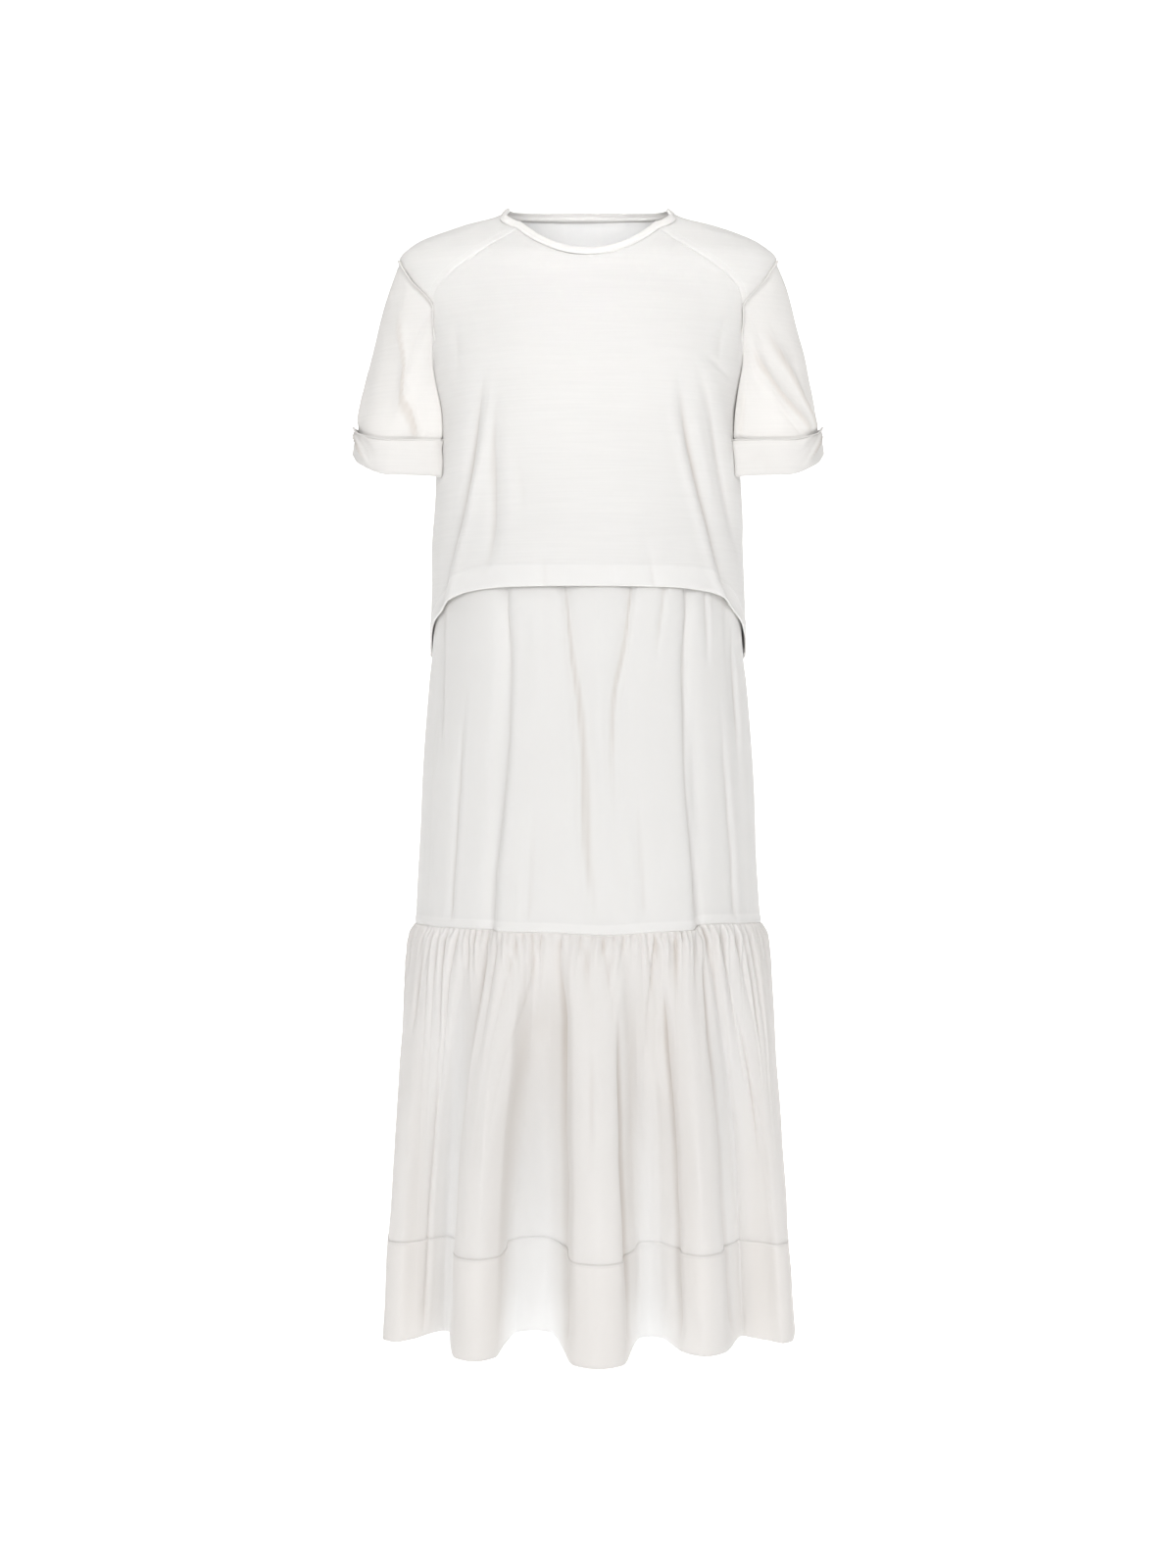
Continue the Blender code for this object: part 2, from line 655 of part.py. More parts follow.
def casing(name, material):
    inset = JERSEY_WALL / 2 + SEAM + CASING_WALL / 2

    def place(round_deg, z):
        return top_point(round_deg, z, inset)

    cloth_piece(name, spaced(0.0, 360.0, 2 * PANEL_COLUMNS), [WAIST_TOP_Z, WAIST_Z + SEAM], place,
                CASING_WALL, material, ring=True)


def half_round(side, columns):
    """Degrees round the front or the back, from one side seam to the other."""
    middle = 0.0 if side == 1 else 180.0
    return spaced(middle - HALF_TURN, middle + HALF_TURN, columns)


def skirt_tier(name, side, material):
    levels = [TIER_Z, TIER_Z + SEAM_ALLOWANCE, -0.70, -0.60, -0.52, -0.46, -0.40, WAIST_Z]

    def place(round_deg, z):
        x, y, z = skirt_point((round_deg + 180) % 360 - 180, z)
        return x, y - side * SEAM / 2, z

    cloth_piece(name, half_round(side, SKIRT_COLUMNS), levels, place, POPLIN_WALL, material,
                double_rows=1, double=1.6)


def flounce_part(name, side, drops, wall, material, fine_rows=0):
    def place(round_deg, drop):
        x, y, z = flounce_point((round_deg + 180) % 360 - 180, drop)
        return x, y - side * FLOUNCE_SEAM / 2, z

    cloth_piece(name, half_round(side, GATHERS // 2), drops, place, wall, material,
                fine_rows=fine_rows)


wipe()
dress = bpy.data.collections.new("tiered dress")
bpy.context.scene.collection.children.link(dress)

jersey = cloth_material("jersey", (0.90, 0.88, 0.86), 0.85)
bound_edge = cloth_material("binding", (0.92, 0.91, 0.89), 0.80)
poplin = cloth_material("poplin", (0.87, 0.85, 0.83), 0.75)

for side, word in ((1, "front"), (-1, "back")):
    body_panel(word + "_panel", side, jersey)
    skirt_tier("skirt_" + word, side, poplin)
    flounce_part("flounce_" + word, side,
                 [SEAM_ON_A_BEND, 0.012, 0.032, 0.062, 0.12, 0.19, 0.265, BAND_TOP_DROP - SEAM / 2],
                 POPLIN_WALL, poplin, fine_rows=2)
    flounce_part("hem_band_" + word, side,
                 [BAND_TOP_DROP + SEAM / 2, 0.39, HEM_DROP], BAND_WALL, poplin)
for hand, word in ((-1, "left"), (1, "right")):
    saddle("saddle_" + word, hand, jersey)
    sleeve("sleeve_" + word, hand, jersey)
    cuff("cuff_" + word, hand, jersey)
binding("neck_binding", bound_edge)
casing("waist_casing", poplin)
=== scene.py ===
# %% [markdown]
# # A white tiered dress, filled out as if worn
# The dress is a boxy cotton jersey top over a gathered poplin skirt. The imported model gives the
# form and the size of every cut piece; here each piece becomes thin sewn cloth with folded hems,
# seams that turn in, gathers, creases and stitches.
# %% Load the frame
import math

import bmesh
import bpy
import numpy as np
from mathutils import Matrix, Vector


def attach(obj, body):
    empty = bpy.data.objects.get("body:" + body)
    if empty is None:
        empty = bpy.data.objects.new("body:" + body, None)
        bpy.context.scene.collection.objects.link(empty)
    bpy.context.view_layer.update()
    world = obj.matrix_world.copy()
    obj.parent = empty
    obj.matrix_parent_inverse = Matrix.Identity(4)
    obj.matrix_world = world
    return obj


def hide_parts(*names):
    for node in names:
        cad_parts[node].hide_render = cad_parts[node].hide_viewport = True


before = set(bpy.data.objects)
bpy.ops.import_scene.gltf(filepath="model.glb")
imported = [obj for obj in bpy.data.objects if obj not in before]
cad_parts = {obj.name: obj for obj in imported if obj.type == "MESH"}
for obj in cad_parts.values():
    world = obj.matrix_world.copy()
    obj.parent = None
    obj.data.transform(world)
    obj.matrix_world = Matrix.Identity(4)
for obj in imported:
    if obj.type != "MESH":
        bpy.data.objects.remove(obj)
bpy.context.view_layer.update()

# %% [markdown]
# ## Camera
# The dress was photographed straight from the front, at about the height of its middle. A lens
# of 48 mm from 2.3 m away gives the same framing, so the camera comes first and every piece can
# be compared through it.
# %% Camera
CAMERA_AWAY = 2.3
CAMERA_Z = -0.633
LENS = 47.9


def added(name, data):
    """An object in the scene, at the origin and unturned."""
    holder = bpy.data.objects.new(name, data)
    bpy.context.scene.collection.objects.link(holder)
    return holder


camera = added("camera", bpy.data.cameras.new("camera"))
camera.data.lens = LENS
camera.data.sensor_width = 36
camera.location = (0, -CAMERA_AWAY, CAMERA_Z)
camera.rotation_euler = (math.radians(90), 0, 0)
bpy.context.scene.camera = camera
print("the camera stands", CAMERA_AWAY, "m away with a", LENS, "mm lens")

# %% [markdown]
# ## Light
# White cotton shows its creases only if the light has a direction, and stays white only if some
# of it comes from all round. So a plain pale world fills in, and large soft lamps near the
# camera's height give the folds their shade. The colours are shown as they are, without a film
# curve, which would turn the white cloth grey.
# %% Light
WORLD_COLOUR = (1.0, 0.985, 0.965, 1)
WORLD_STRENGTH = 0.42
LAMPS = (
    # name, where it stands, where it points, width, power, how widely it shines in degrees
    ("key_lamp", (1.1, -3.1, 0.6), (0, 0, -0.55), 1.3, 36, 180),
    ("fill_lamp", (-1.1, -3.1, -0.1), (0, 0, -0.6), 1.3, 31, 180),
    ("top_lamp", (0.0, -1.6, 1.7), (0, 0.03, -0.06), 0.6, 7, 180),
    ("neck_lamp", (0.0, -2.4, 0.12), (0, 0.05, 0.01), 0.3, 0.08, 12))

bpy.context.scene.view_settings.view_transform = "Standard"
world = bpy.data.worlds.new("studio")
world.use_nodes = True
world.node_tree.nodes["Background"].inputs["Color"].default_value = WORLD_COLOUR
world.node_tree.nodes["Background"].inputs["Strength"].default_value = WORLD_STRENGTH
bpy.context.scene.world = world
for name, stands, points_at, width, power, cone in LAMPS:
    light = bpy.data.lights.new(name, "AREA")
    light.shape = "SQUARE"
    light.size = width
    light.energy = power
    light.spread = math.radians(cone)
    holder = added(name, light)
    holder.location = stands
    holder.rotation_euler = (Vector(points_at) - Vector(stands)).to_track_quat("-Z", "Y").to_euler()
    holder.visible_camera = False
print(len(LAMPS), "lamps and a pale world")

# %% [markdown]
# ## Floor and backdrop
# Both are one sheet of pale paper: an edge drawn back along the floor, round a soft curve and up.
# %% Floor
FLOOR_Z = -1.75
FLOOR_HALF_WIDTH = 7
FLOOR_NEAR_Y = -6
BACKDROP_Y = 3.4             # far enough back for a look from behind as well
BACKDROP_CURVE = 1.0
BACKDROP_HEIGHT = 5


def made(name, mesh, *materials):
    """Turn a finished bmesh into a smooth object in the scene."""
    data = bpy.data.meshes.new(name)
    mesh.to_mesh(data)
    mesh.free()
    for material in materials:
        data.materials.append(material)
    data.shade_smooth()
    return added(name, data)


def kind_of(parts, kind):
    return [part for part in parts if isinstance(part, kind)]


def sweep():
    mesh = bmesh.new()
    edge = mesh.edges.new([mesh.verts.new((x, FLOOR_NEAR_Y, FLOOR_Z))
                           for x in (-FLOOR_HALF_WIDTH, FLOOR_HALF_WIDTH)])
    back = bmesh.ops.extrude_edge_only(mesh, edges=[edge])["geom"]
    moved = kind_of(back, bmesh.types.BMVert)
    bmesh.ops.translate(mesh, verts=moved, vec=(0, -FLOOR_NEAR_Y + BACKDROP_Y - BACKDROP_CURVE, 0))
    turned = bmesh.ops.spin(mesh, geom=moved + kind_of(back, bmesh.types.BMEdge),
                            cent=(0, BACKDROP_Y - BACKDROP_CURVE, FLOOR_Z + BACKDROP_CURVE),
                            axis=(1, 0, 0), angle=math.radians(90), steps=12, use_merge=False)
    top = kind_of(turned["geom_last"], bmesh.types.BMEdge)
    raised = bmesh.ops.extrude_edge_only(mesh, edges=top)["geom"]
    lifted = kind_of(raised, bmesh.types.BMVert)
    bmesh.ops.translate(mesh, verts=lifted, vec=(0, 0, BACKDROP_HEIGHT))
    bmesh.ops.recalc_face_normals(mesh, faces=mesh.faces[:])
    return made("floor", mesh)


floor = sweep()
print("a floor at", FLOOR_Z, "and a backdrop", BACKDROP_Y, "m behind")

# %% [markdown]
# ## Curves through tables
# A dress is drawn from a few measured sections. Each table below has a row for a section and
# named columns, and a smooth curve joins the rows without swinging past them. The same rows
# shaped the solids, so the cloth lies where they are. Three small curves help to place folds.
# %% Table
class Table:
    """Rows under named columns, joined by smooth curves; reads whole arrays at once."""

    def __init__(self, columns, rows, turn=None):
        self.names = columns.split()
        rows = sorted(rows)
        if turn:
            before = [(row[0] - turn, *row[1:]) for row in rows[-3:]]
            after = [(row[0] + turn, *row[1:]) for row in rows[:3]]
            rows = before + rows + after
        table = np.array(rows, dtype=float)
        self.keys = table[:, 0]
        self.values = table[:, 1:]
        steep = np.diff(self.values, axis=0) / np.diff(self.keys)[:, None]
        product = steep[:-1] * steep[1:]
        total = steep[:-1] + steep[1:]
        level = product <= 0
        middle = np.where(level, 0.0, 2 * product / np.where(level, 1.0, total))
        self.slopes = np.vstack([steep[:1], middle, steep[-1:]])

    def read(self, key):
        key = np.clip(np.asarray(key, dtype=float), self.keys[0], self.keys[-1])
        last = len(self.keys) - 2
        i = np.clip(np.searchsorted(self.keys, key, side="right") - 1, 0, last)
        span = (self.keys[i + 1] - self.keys[i])[..., None]
        t = (key - self.keys[i])[..., None] / span
        found = ((2 * t ** 3 - 3 * t ** 2 + 1) * self.values[i]
                 + (t ** 3 - 2 * t ** 2 + t) * span * self.slopes[i]
                 + (3 * t ** 2 - 2 * t ** 3) * self.values[i + 1]
                 + (t ** 3 - t ** 2) * span * self.slopes[i + 1])
        found = np.moveaxis(found, -1, 0)
        return found[0] if len(found) == 1 else found


def fade(value, low, high):
    """0 below low, 1 above high, and a smooth step between."""
    t = np.clip((value - low) / (high - low), 0.0, 1.0)
    return t * t * (3 - 2 * t)


def bell(off, width):
    """1 in the middle, falling softly to nothing a couple of widths away."""
    return np.exp(-(off / width) ** 2)


def signed(turn):
    """The same turn in degrees, between -180 and 180."""
    return (turn + 180) % 360 - 180


print("a table reads", Table("a b", [(0, 0), (1, 2), (2, 3)]).read([0.5, 1.5]))
print("a fade reads", fade(np.array([0.0, 0.25, 0.5, 1.0]), 0.0, 1.0))

# %% [markdown]
# ## A piece of cloth
# Every cut piece starts as a flat grid, the way the real one starts flat on the table. A rule
# says where each grid point goes, a second rule lifts it along the way the cloth faces, for
# creases and gathers, and Solidify gives the cloth its thickness. The grid may run on past an
# edge and back underneath: that makes a folded hem, or the allowance turned in at a seam.
# %% Surface
class Surface:
    """Where a piece's points lie (place), and how far they are lifted off that form (lift)."""

    def __init__(self, place, lift, steps, facing=1, beside=0.0):
        self.place = place
        self.lift = lift
        self.steps = steps
        self.facing = facing
        self.beside = beside

    def sunk(self, u, v):
        """How far the cloth lies behind the cloth a little to both sides of it, in metres."""
        near, far = self.beside / 2, self.beside
        sides = sum(self.lift(u + step, v) for step in (-far, -near, near, far))
        return sides / 4 - self.lift(u, v)

    def normal(self, u, v):
        du, dv = self.steps
        along = self.place(u + du, v) - self.place(u - du, v)
        up = self.place(u, v + dv) - self.place(u, v - dv)
        normal = np.cross(along, up) * self.facing
        return normal / np.maximum(np.linalg.norm(normal, axis=1), 1e-12)[:, None]

    def at(self, u, v, off=0.0):
        u, v = np.broadcast_arrays(np.asarray(u, float), np.asarray(v, float))
        return self.place(u, v) + self.normal(u, v) * (self.lift(u, v) + off)[:, None]


CRISP = 0.15                 # an extra line this part of a step from a fold keeps the fold crisp


def spread(start, end, count, start_turn=0.0, end_turn=0.0, turn_steps=3):
    """Grid lines from start to end, with an allowance turned under at either end if asked.

    Each line is a pair: where it lies, and how far it is turned under.
    """
    step = (end - start) / count
    lines = [(start + step * i, 0.0) for i in range(count + 1)]
    if start_turn:
        lines = ([(start, start_turn * (1 - i / turn_steps)) for i in range(turn_steps)]
                 + [lines[0], (start + step * CRISP, 0.0)] + lines[1:])
    if end_turn:
        lines = (lines[:-1] + [(end - step * CRISP, 0.0), lines[-1]]
                 + [(end, end_turn * (i + 1) / turn_steps) for i in range(turn_steps)])
    return lines


def cloth(name, surface, columns, rows, wall, material, flat, ring=False, lining=None):
    """A sewn piece of cloth on its surface. columns and rows are lists from spread()."""
    across = len(columns) - 1
    along = len(rows) - 1
    mesh = bmesh.new()
    bmesh.ops.create_grid(mesh, x_segments=across, y_segments=along, size=0.5)
    grid = np.array([vertex.co[:] for vertex in mesh.verts])
    column = (grid[:, 0] + 0.5) * across
    row = (grid[:, 1] + 0.5) * along
    column_at, column_under = np.array(columns).T
    row_at, row_under = np.array(rows).T
    u = np.interp(column, np.arange(across + 1), column_at)
    v = np.interp(row, np.arange(along + 1), row_at)
    under = (np.interp(column, np.arange(across + 1), column_under)
             + np.interp(row, np.arange(along + 1), row_under))
    points = surface.at(u, v, -under)
    places = np.stack([(u - column_at.min()) / np.ptp(column_at) * flat[0],
                       (v - row_at.min()) / np.ptp(row_at) * flat[1]], axis=1)
    # How deep each point lies in a fold; kept as the attribute sunk, it sets the painted shade in
    # folds.
    sunk = surface.sunk(u, v) if surface.beside else np.zeros_like(u)
    layer = mesh.loops.layers.uv.new("cut")
    depth = mesh.verts.layers.float.new("sunk")
    mesh.verts.ensure_lookup_table()
    for index, vertex in enumerate(mesh.verts):
        vertex.co = points[index]
        vertex[depth] = sunk[index]
    for face in mesh.faces:
        for loop in face.loops:
            loop[layer].uv = places[loop.vert.index]
    if ring:
        bmesh.ops.remove_doubles(mesh, verts=mesh.verts[:], dist=0.00004)
    if surface.facing < 0:
        bmesh.ops.reverse_faces(mesh, faces=mesh.faces[:])
    piece = made(name, mesh, material)
    solid = piece.modifiers.new("wall", "SOLIDIFY")
    solid.thickness = wall
    solid.offset = 0.0
    if lining:
        piece.data.materials.append(lining)
        solid.material_offset = 1
    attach(piece, "root")
    faces = piece.data.polygons
    print(name, "is", len(faces), "faces and", round(sum(f.area for f in faces), 4), "m2 of cloth")
    return piece


def sewn(node):
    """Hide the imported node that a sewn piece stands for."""
    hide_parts(node)


print("a piece is a grid, a rule for its place, a rule for its lift and a wall")

# %% [markdown]
# ## Stitches
# A row of machine stitches follows a line on the cloth. The line is measured first, then a small
# flattened ball of thread is set at every stitch, long way along the line.
# %% Stitches
STITCH_PITCH = 0.0030
STITCH_LENGTH = 0.0023
STITCH_WIDTH = 0.00050
STITCH_HEIGHT = 0.00036
STITCH_IN = 0.0018           # how far from an edge of poplin its row runs
STITCH_SAMPLES = 60          # places measured between two points of a line


def stitches(name, surface, line, material, off):
    """Stitches along a line of (u, v) places on a surface, their middles off its own middle."""
    line = np.array(line, dtype=float)
    share = np.linspace(0, len(line) - 1, STITCH_SAMPLES * len(line))
    u = np.interp(share, np.arange(len(line)), line[:, 0])
    v = np.interp(share, np.arange(len(line)), line[:, 1])
    run = surface.at(u, v, off)
    length = np.append(0.0, np.cumsum(np.linalg.norm(np.diff(run, axis=0), axis=1)))
    count = max(1, int(length[-1] / STITCH_PITCH))
    middle = (np.arange(count) + 0.5) * length[-1] / count
    half = STITCH_LENGTH / 2
    ends = [np.interp(middle + step, length, share) for step in (-half, half)]
    start, end = (np.stack([np.interp(at, share, run[:, axis]) for axis in range(3)], axis=1)
                  for at in ends)
    at = np.interp(middle, length, share)
    facing = surface.normal(np.interp(at, share, u), np.interp(at, share, v))
    mesh = bmesh.new()
    for first, last, up in zip(start, end, facing):
        along = Vector(last - first).normalized()
        side = Vector(up).cross(along).normalized()
        above = along.cross(side)
        place = Matrix.Translation(Vector((first + last) / 2)) @ Matrix(
            (along, side, above)).transposed().to_4x4()
        size = Matrix.Diagonal((STITCH_LENGTH / 2, STITCH_WIDTH / 2, STITCH_HEIGHT / 2, 1.0))
        bmesh.ops.create_icosphere(mesh, subdivisions=1, radius=1.0, matrix=place @ size)
    row = made(name, mesh, material)
    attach(row, "root")
    print(name, "has", count, "stitches over", round(float(length[-1]), 3), "m")
    return row


print("a stitch is", STITCH_LENGTH * 1000, "mm long, one every", STITCH_PITCH * 1000, "mm")

# %% [markdown]
# ## The form of the top
# The top is a tube of level sections, each a rounded box: fuller in front than behind. These
# are its sections, and the lines where its pieces meet.
# %% Sizes of the top
ROUNDNESS = 2.3              # 2 is an ellipse, more is boxier
SEAM = 0.0003                # clear space where two pieces are sewn
NECK_HALF = 0.0765           # half the neck opening's width
NECK_SHARE = 10 / 24         # the neckline's part of a panel's half width
NECK_CURVE = 2.2             # how late the neckline turns up
NECK_PANEL_PART = 0.74       # the panels' part of the neckline; the shoulder pieces have the rest
NECK_FRONT_DROP = 0.0655
NECK_SIDE_DROP = 0.0300
NECK_BACK_RISE = 0.0020
NECK_BACK_SIDE = -0.0020
UNDERARM_Z = -0.225
UNDERARM_SHARE = 0.71        # the underarm's part of the way up a panel
EDGE_LEAN = 1.5              # how late a panel's upper part leans in to the armhole
SIDES = ((1, "front"), (-1, "back"))
HANDS = ((-1, "left"), (1, "right"))

TOP = Table("z half front back", [
    (0.004, 0.080, 0.012, 0.0520),
    (-0.009, 0.103, 0.022, 0.0580),
    (-0.020, 0.141, 0.031, 0.0640),
    (-0.039, 0.189, 0.046, 0.0720),
    (-0.058, 0.207, 0.062, 0.0790),
    (-0.085, 0.204, 0.077, 0.0870),
    (-0.1165, 0.190, 0.096, 0.0930),
    (-0.150, 0.183, 0.113, 0.0970),
    (-0.190, 0.175, 0.129, 0.0990),
    (-0.240, 0.1645, 0.1383, 0.1000),
    (-0.310, 0.1672, 0.139, 0.0985),
    (-0.380, 0.1702, 0.1405, 0.0985),
    (-0.440, 0.1722, 0.1430, 0.1010),
    (-0.520, 0.1740, 0.1450, 0.1050)])

RIDGE = Table("share z", [
    (0.00, -0.0045),
    (0.12, -0.0098),
    (0.44, -0.0197),
    (0.66, -0.0290),
    (0.86, -0.0390),
    (1.00, -0.0570)])

SADDLE_SEAM = {
    1: Table("share x z", [
        (0.00, NECK_HALF, -NECK_SIDE_DROP),
        (0.40, 0.1200, -0.0627),
        (0.70, 0.1497, -0.0849),
        (0.90, 0.1640, -0.1040),
        (1.00, 0.1666, -0.1165)]),
    -1: Table("share x z", [
        (0.00, NECK_HALF, NECK_BACK_SIDE),
        (0.40, 0.1200, -0.0400),
        (0.70, 0.1497, -0.0700),
        (0.90, 0.1640, -0.0980),
        (1.00, 0.1666, -0.1165)])}

TOP_HEM = {
    1: Table("side z", [
        (0.00, -0.4270),
        (0.30, -0.4272),
        (0.50, -0.4300),
        (0.66, -0.4400),
        (0.80, -0.4560),
        (0.92, -0.4740),
        (1.00, -0.4905)]),
    -1: Table("side z", [
        (0.00, -0.5060),
        (0.60, -0.5020),
        (1.00, -0.4905)])}
print("the top's sections run from", TOP.keys[0], "to", TOP.keys[-1])

# %% [markdown]
# A point of the top is found by going round a section by an angle, at a height.
# %% Form of the top
def bend(value, power):
    return np.sign(value) * np.abs(value) ** power


def section(half, front, back, round_deg):
    """Points on level sections, round_deg from the centre front towards +X."""
    turn = np.radians(round_deg)
    depth = np.where(np.cos(turn) >= 0, front, back)
    return half * bend(np.sin(turn), 2 / ROUNDNESS), -depth * bend(np.cos(turn), 2 / ROUNDNESS)


def top_point(round_deg, z):
    half, front, back = TOP.read(z)
    x, y = section(half, front, back, round_deg)
    return np.stack([x, y, np.broadcast_to(z, x.shape)], axis=-1)


def round_at(x, z):
    """Degrees from the centre line at which the top's section is x wide."""
    half = TOP.read(z)[0]
    return np.degrees(np.arcsin(np.clip(x / half, 0.0, 1.0) ** (ROUNDNESS / 2)))


print("the chest is", round(2 * float(TOP.read(-0.24)[0]), 3), "m wide")

# %% [markdown]
# ## Creases
# Cotton hangs in soft uneven troughs and ridges. Each one here is given one by one: a line of
# points down the cloth, how deep it is, how wide, and how much steeper one side is than the
# other. It starts and ends in nothing. A few slow ripples over the whole piece keep the flat
# parts from looking like a shell.
# %% Creases and ripples
LIP_AWAY, LIP_WIDTH = 1.9, 0.9               # in widths of the crease


def crease(across, down, line, depth, width, lean=0.0, fade_in=0.3, fade_out=0.3):
    """A trough (depth below zero) or a ridge along a line of (down, across) points.

    lean makes one side steeper, and gives it a soft lip, as where a fold turns over.
    """
    line = sorted(line)
    first, last = line[0][0], line[-1][0]
    at = Table("down across", line).read(down)
    length = last - first
    there = fade(down, first, first + fade_in * length + 1e-9)
    there *= 1 - fade(down, last - fade_out * length - 1e-9, last)
    off = (across - at) / width
    off = off * np.where(off > 0, 1 + lean, 1 - lean)
    lip = bell(off - np.copysign(LIP_AWAY, lean), LIP_WIDTH) * min(1.0, abs(lean) * 2)
    broad, sharp = np.exp(-off ** 2), np.exp(-(off * 2.4) ** 2)
    return depth * there * (0.6 * broad + 0.4 * sharp - 0.3 * lip)


def creases(across, down, table):
    """All the creases of a table with the columns line, depth, width, lean, fade in, fade out."""
    total = np.zeros_like(across)
    for line, *how in table:
        total = total + crease(across, down, line, *how)
    return total


def ripples(points, length, height, seed):
    """Slow uneven waves of about that length and height, the same on every run."""
    chance = np.random.default_rng(seed)
    total = np.zeros(len(points))
    for _ in range(9):
        way = chance.normal(size=3)
        way *= 2 * np.pi / (length * chance.uniform(0.7, 1.6)) / np.linalg.norm(way)
        total += np.sin(points @ way + chance.uniform(0, 6.28))
    return total * height / 3


print("creases are tables, ripples are seeded")

# %% [markdown]
# ## Cloth finishes
# Both cloths are plain white cotton, so they differ in texture and not in colour: the jersey is a
# soft matt knit with a faint vertical rib, the poplin a crisper plain weave that catches more
# light. Beyond small random clouds and streaks, their colour changes between parts and in folds
# only as painted light and painted shade. A small helper class lets the shader sums be written
# as ordinary Python.
# %% Shader sums
class Wire:
    """A node's output that can be used in sums; every sum adds a Math node."""

    def __init__(self, tree, socket=None):
        self.tree = tree
        self.socket = socket

    def fill(self, made, inputs):
        """Give a node's sockets their values or wires."""
        for name, value in inputs.items():
            if isinstance(value, Wire):
                self.tree.links.new(value.socket, made.inputs[name])
            else:
                made.inputs[name].default_value = value

    def node(self, kind, settings, inputs, output=0):
        """Add any node: its settings first, then what goes into its sockets."""
        made = self.tree.nodes.new(kind)
        for name, value in settings.items():
            setattr(made, name, value)
        self.fill(made, inputs)
        return Wire(self.tree, made.outputs[output])

    def feed(self, inputs):
        self.fill(self.tree.nodes["Principled BSDF"], inputs)

    def math(self, operation, *values):
        return self.node("ShaderNodeMath", {"operation": operation},
                         dict(enumerate((self, *values))))

    def part(self, vector, axis):
        return self.node("ShaderNodeSeparateXYZ", {}, {"Vector": vector}, axis)

    def noise(self, vector, scale, detail=1.0, roughness=0.5):
        return self.node("ShaderNodeTexNoise", {}, {
            "Vector": vector, "Scale": scale, "Detail": detail, "Roughness": roughness}, "Fac")

    def ramp(self, value, low, high, how="LINEAR"):
        """0 at low, 1 at high."""
        return self.node("ShaderNodeMapRange", {"interpolation_type": how},
                         {"Value": value, "From Min": low, "From Max": high})

    def mix(self, share, first, second):
        """A colour between two; 6 and 7 are the Mix node's colour sockets, and 2 its colour out."""
        return self.node("ShaderNodeMix", {"data_type": "RGBA"}, {0: share, 6: first, 7: second}, 2)

    def __add__(self, other):
        return self.math("ADD", other)

    def __sub__(self, other):
        return self.math("SUBTRACT", other)

    def __mul__(self, other):
        return self.math("MULTIPLY", other)


print("sums of wires are ready")

# %% [markdown]
# ### Cotton
# One recipe makes every cotton here: the weave, the nap and small crumples as bump, thicker yarns
# and clouds as a slight change of colour, and a painted shade, darker and warmer, where the cloth
# lies sunk in a fold. Some cottons also get painted light in the hollows between folds, or a
# painted lighter tone where the cloth is double.
# %% Cotton
NAP_SCALE = 900.0
CRUMPLE_SCALE = 38.0
CLOUD_SCALE = 9.0
YARN_STRETCH = (16.0, 16.0, 520.0)           # thicker yarns run level, as streaks
CLOUD_TINT = (0.965, 0.965, 0.965)
# Painted light: double cloth gets a lighter colour, for the shade inside that shows less through it.
DOUBLE_PAINTED_LIGHT = (1.045, 1.045, 1.045)
# Painted shade: a darker, warmer tint where the cloth lies sunk in a fold, standing in for the shade
# there.
FOLD_SHADE_TINT = (0.83, 0.80, 0.775)
FOLD_SHADE_FROM, FOLD_SHADE_TO = 0.0002, 0.0050          # how deep in a fold the tint starts and is full
# Painted light: where the cloth hangs back towards the middle plane, the hollows get this lighter
# colour, fading out towards the far sides.
HOLLOW_PAINTED_LIGHT = (0.935, 0.935, 0.930, 1)
HOLLOW_DEPTH = (0.130, 0.050)                # where it starts and is full, from the middle plane
HOLLOW_ASIDE = (0.180, 0.135)


def tinted(colour, tint):
    return tuple(min(1.0, channel * much) for channel, much in zip(colour[:3], tint)) + (1,)


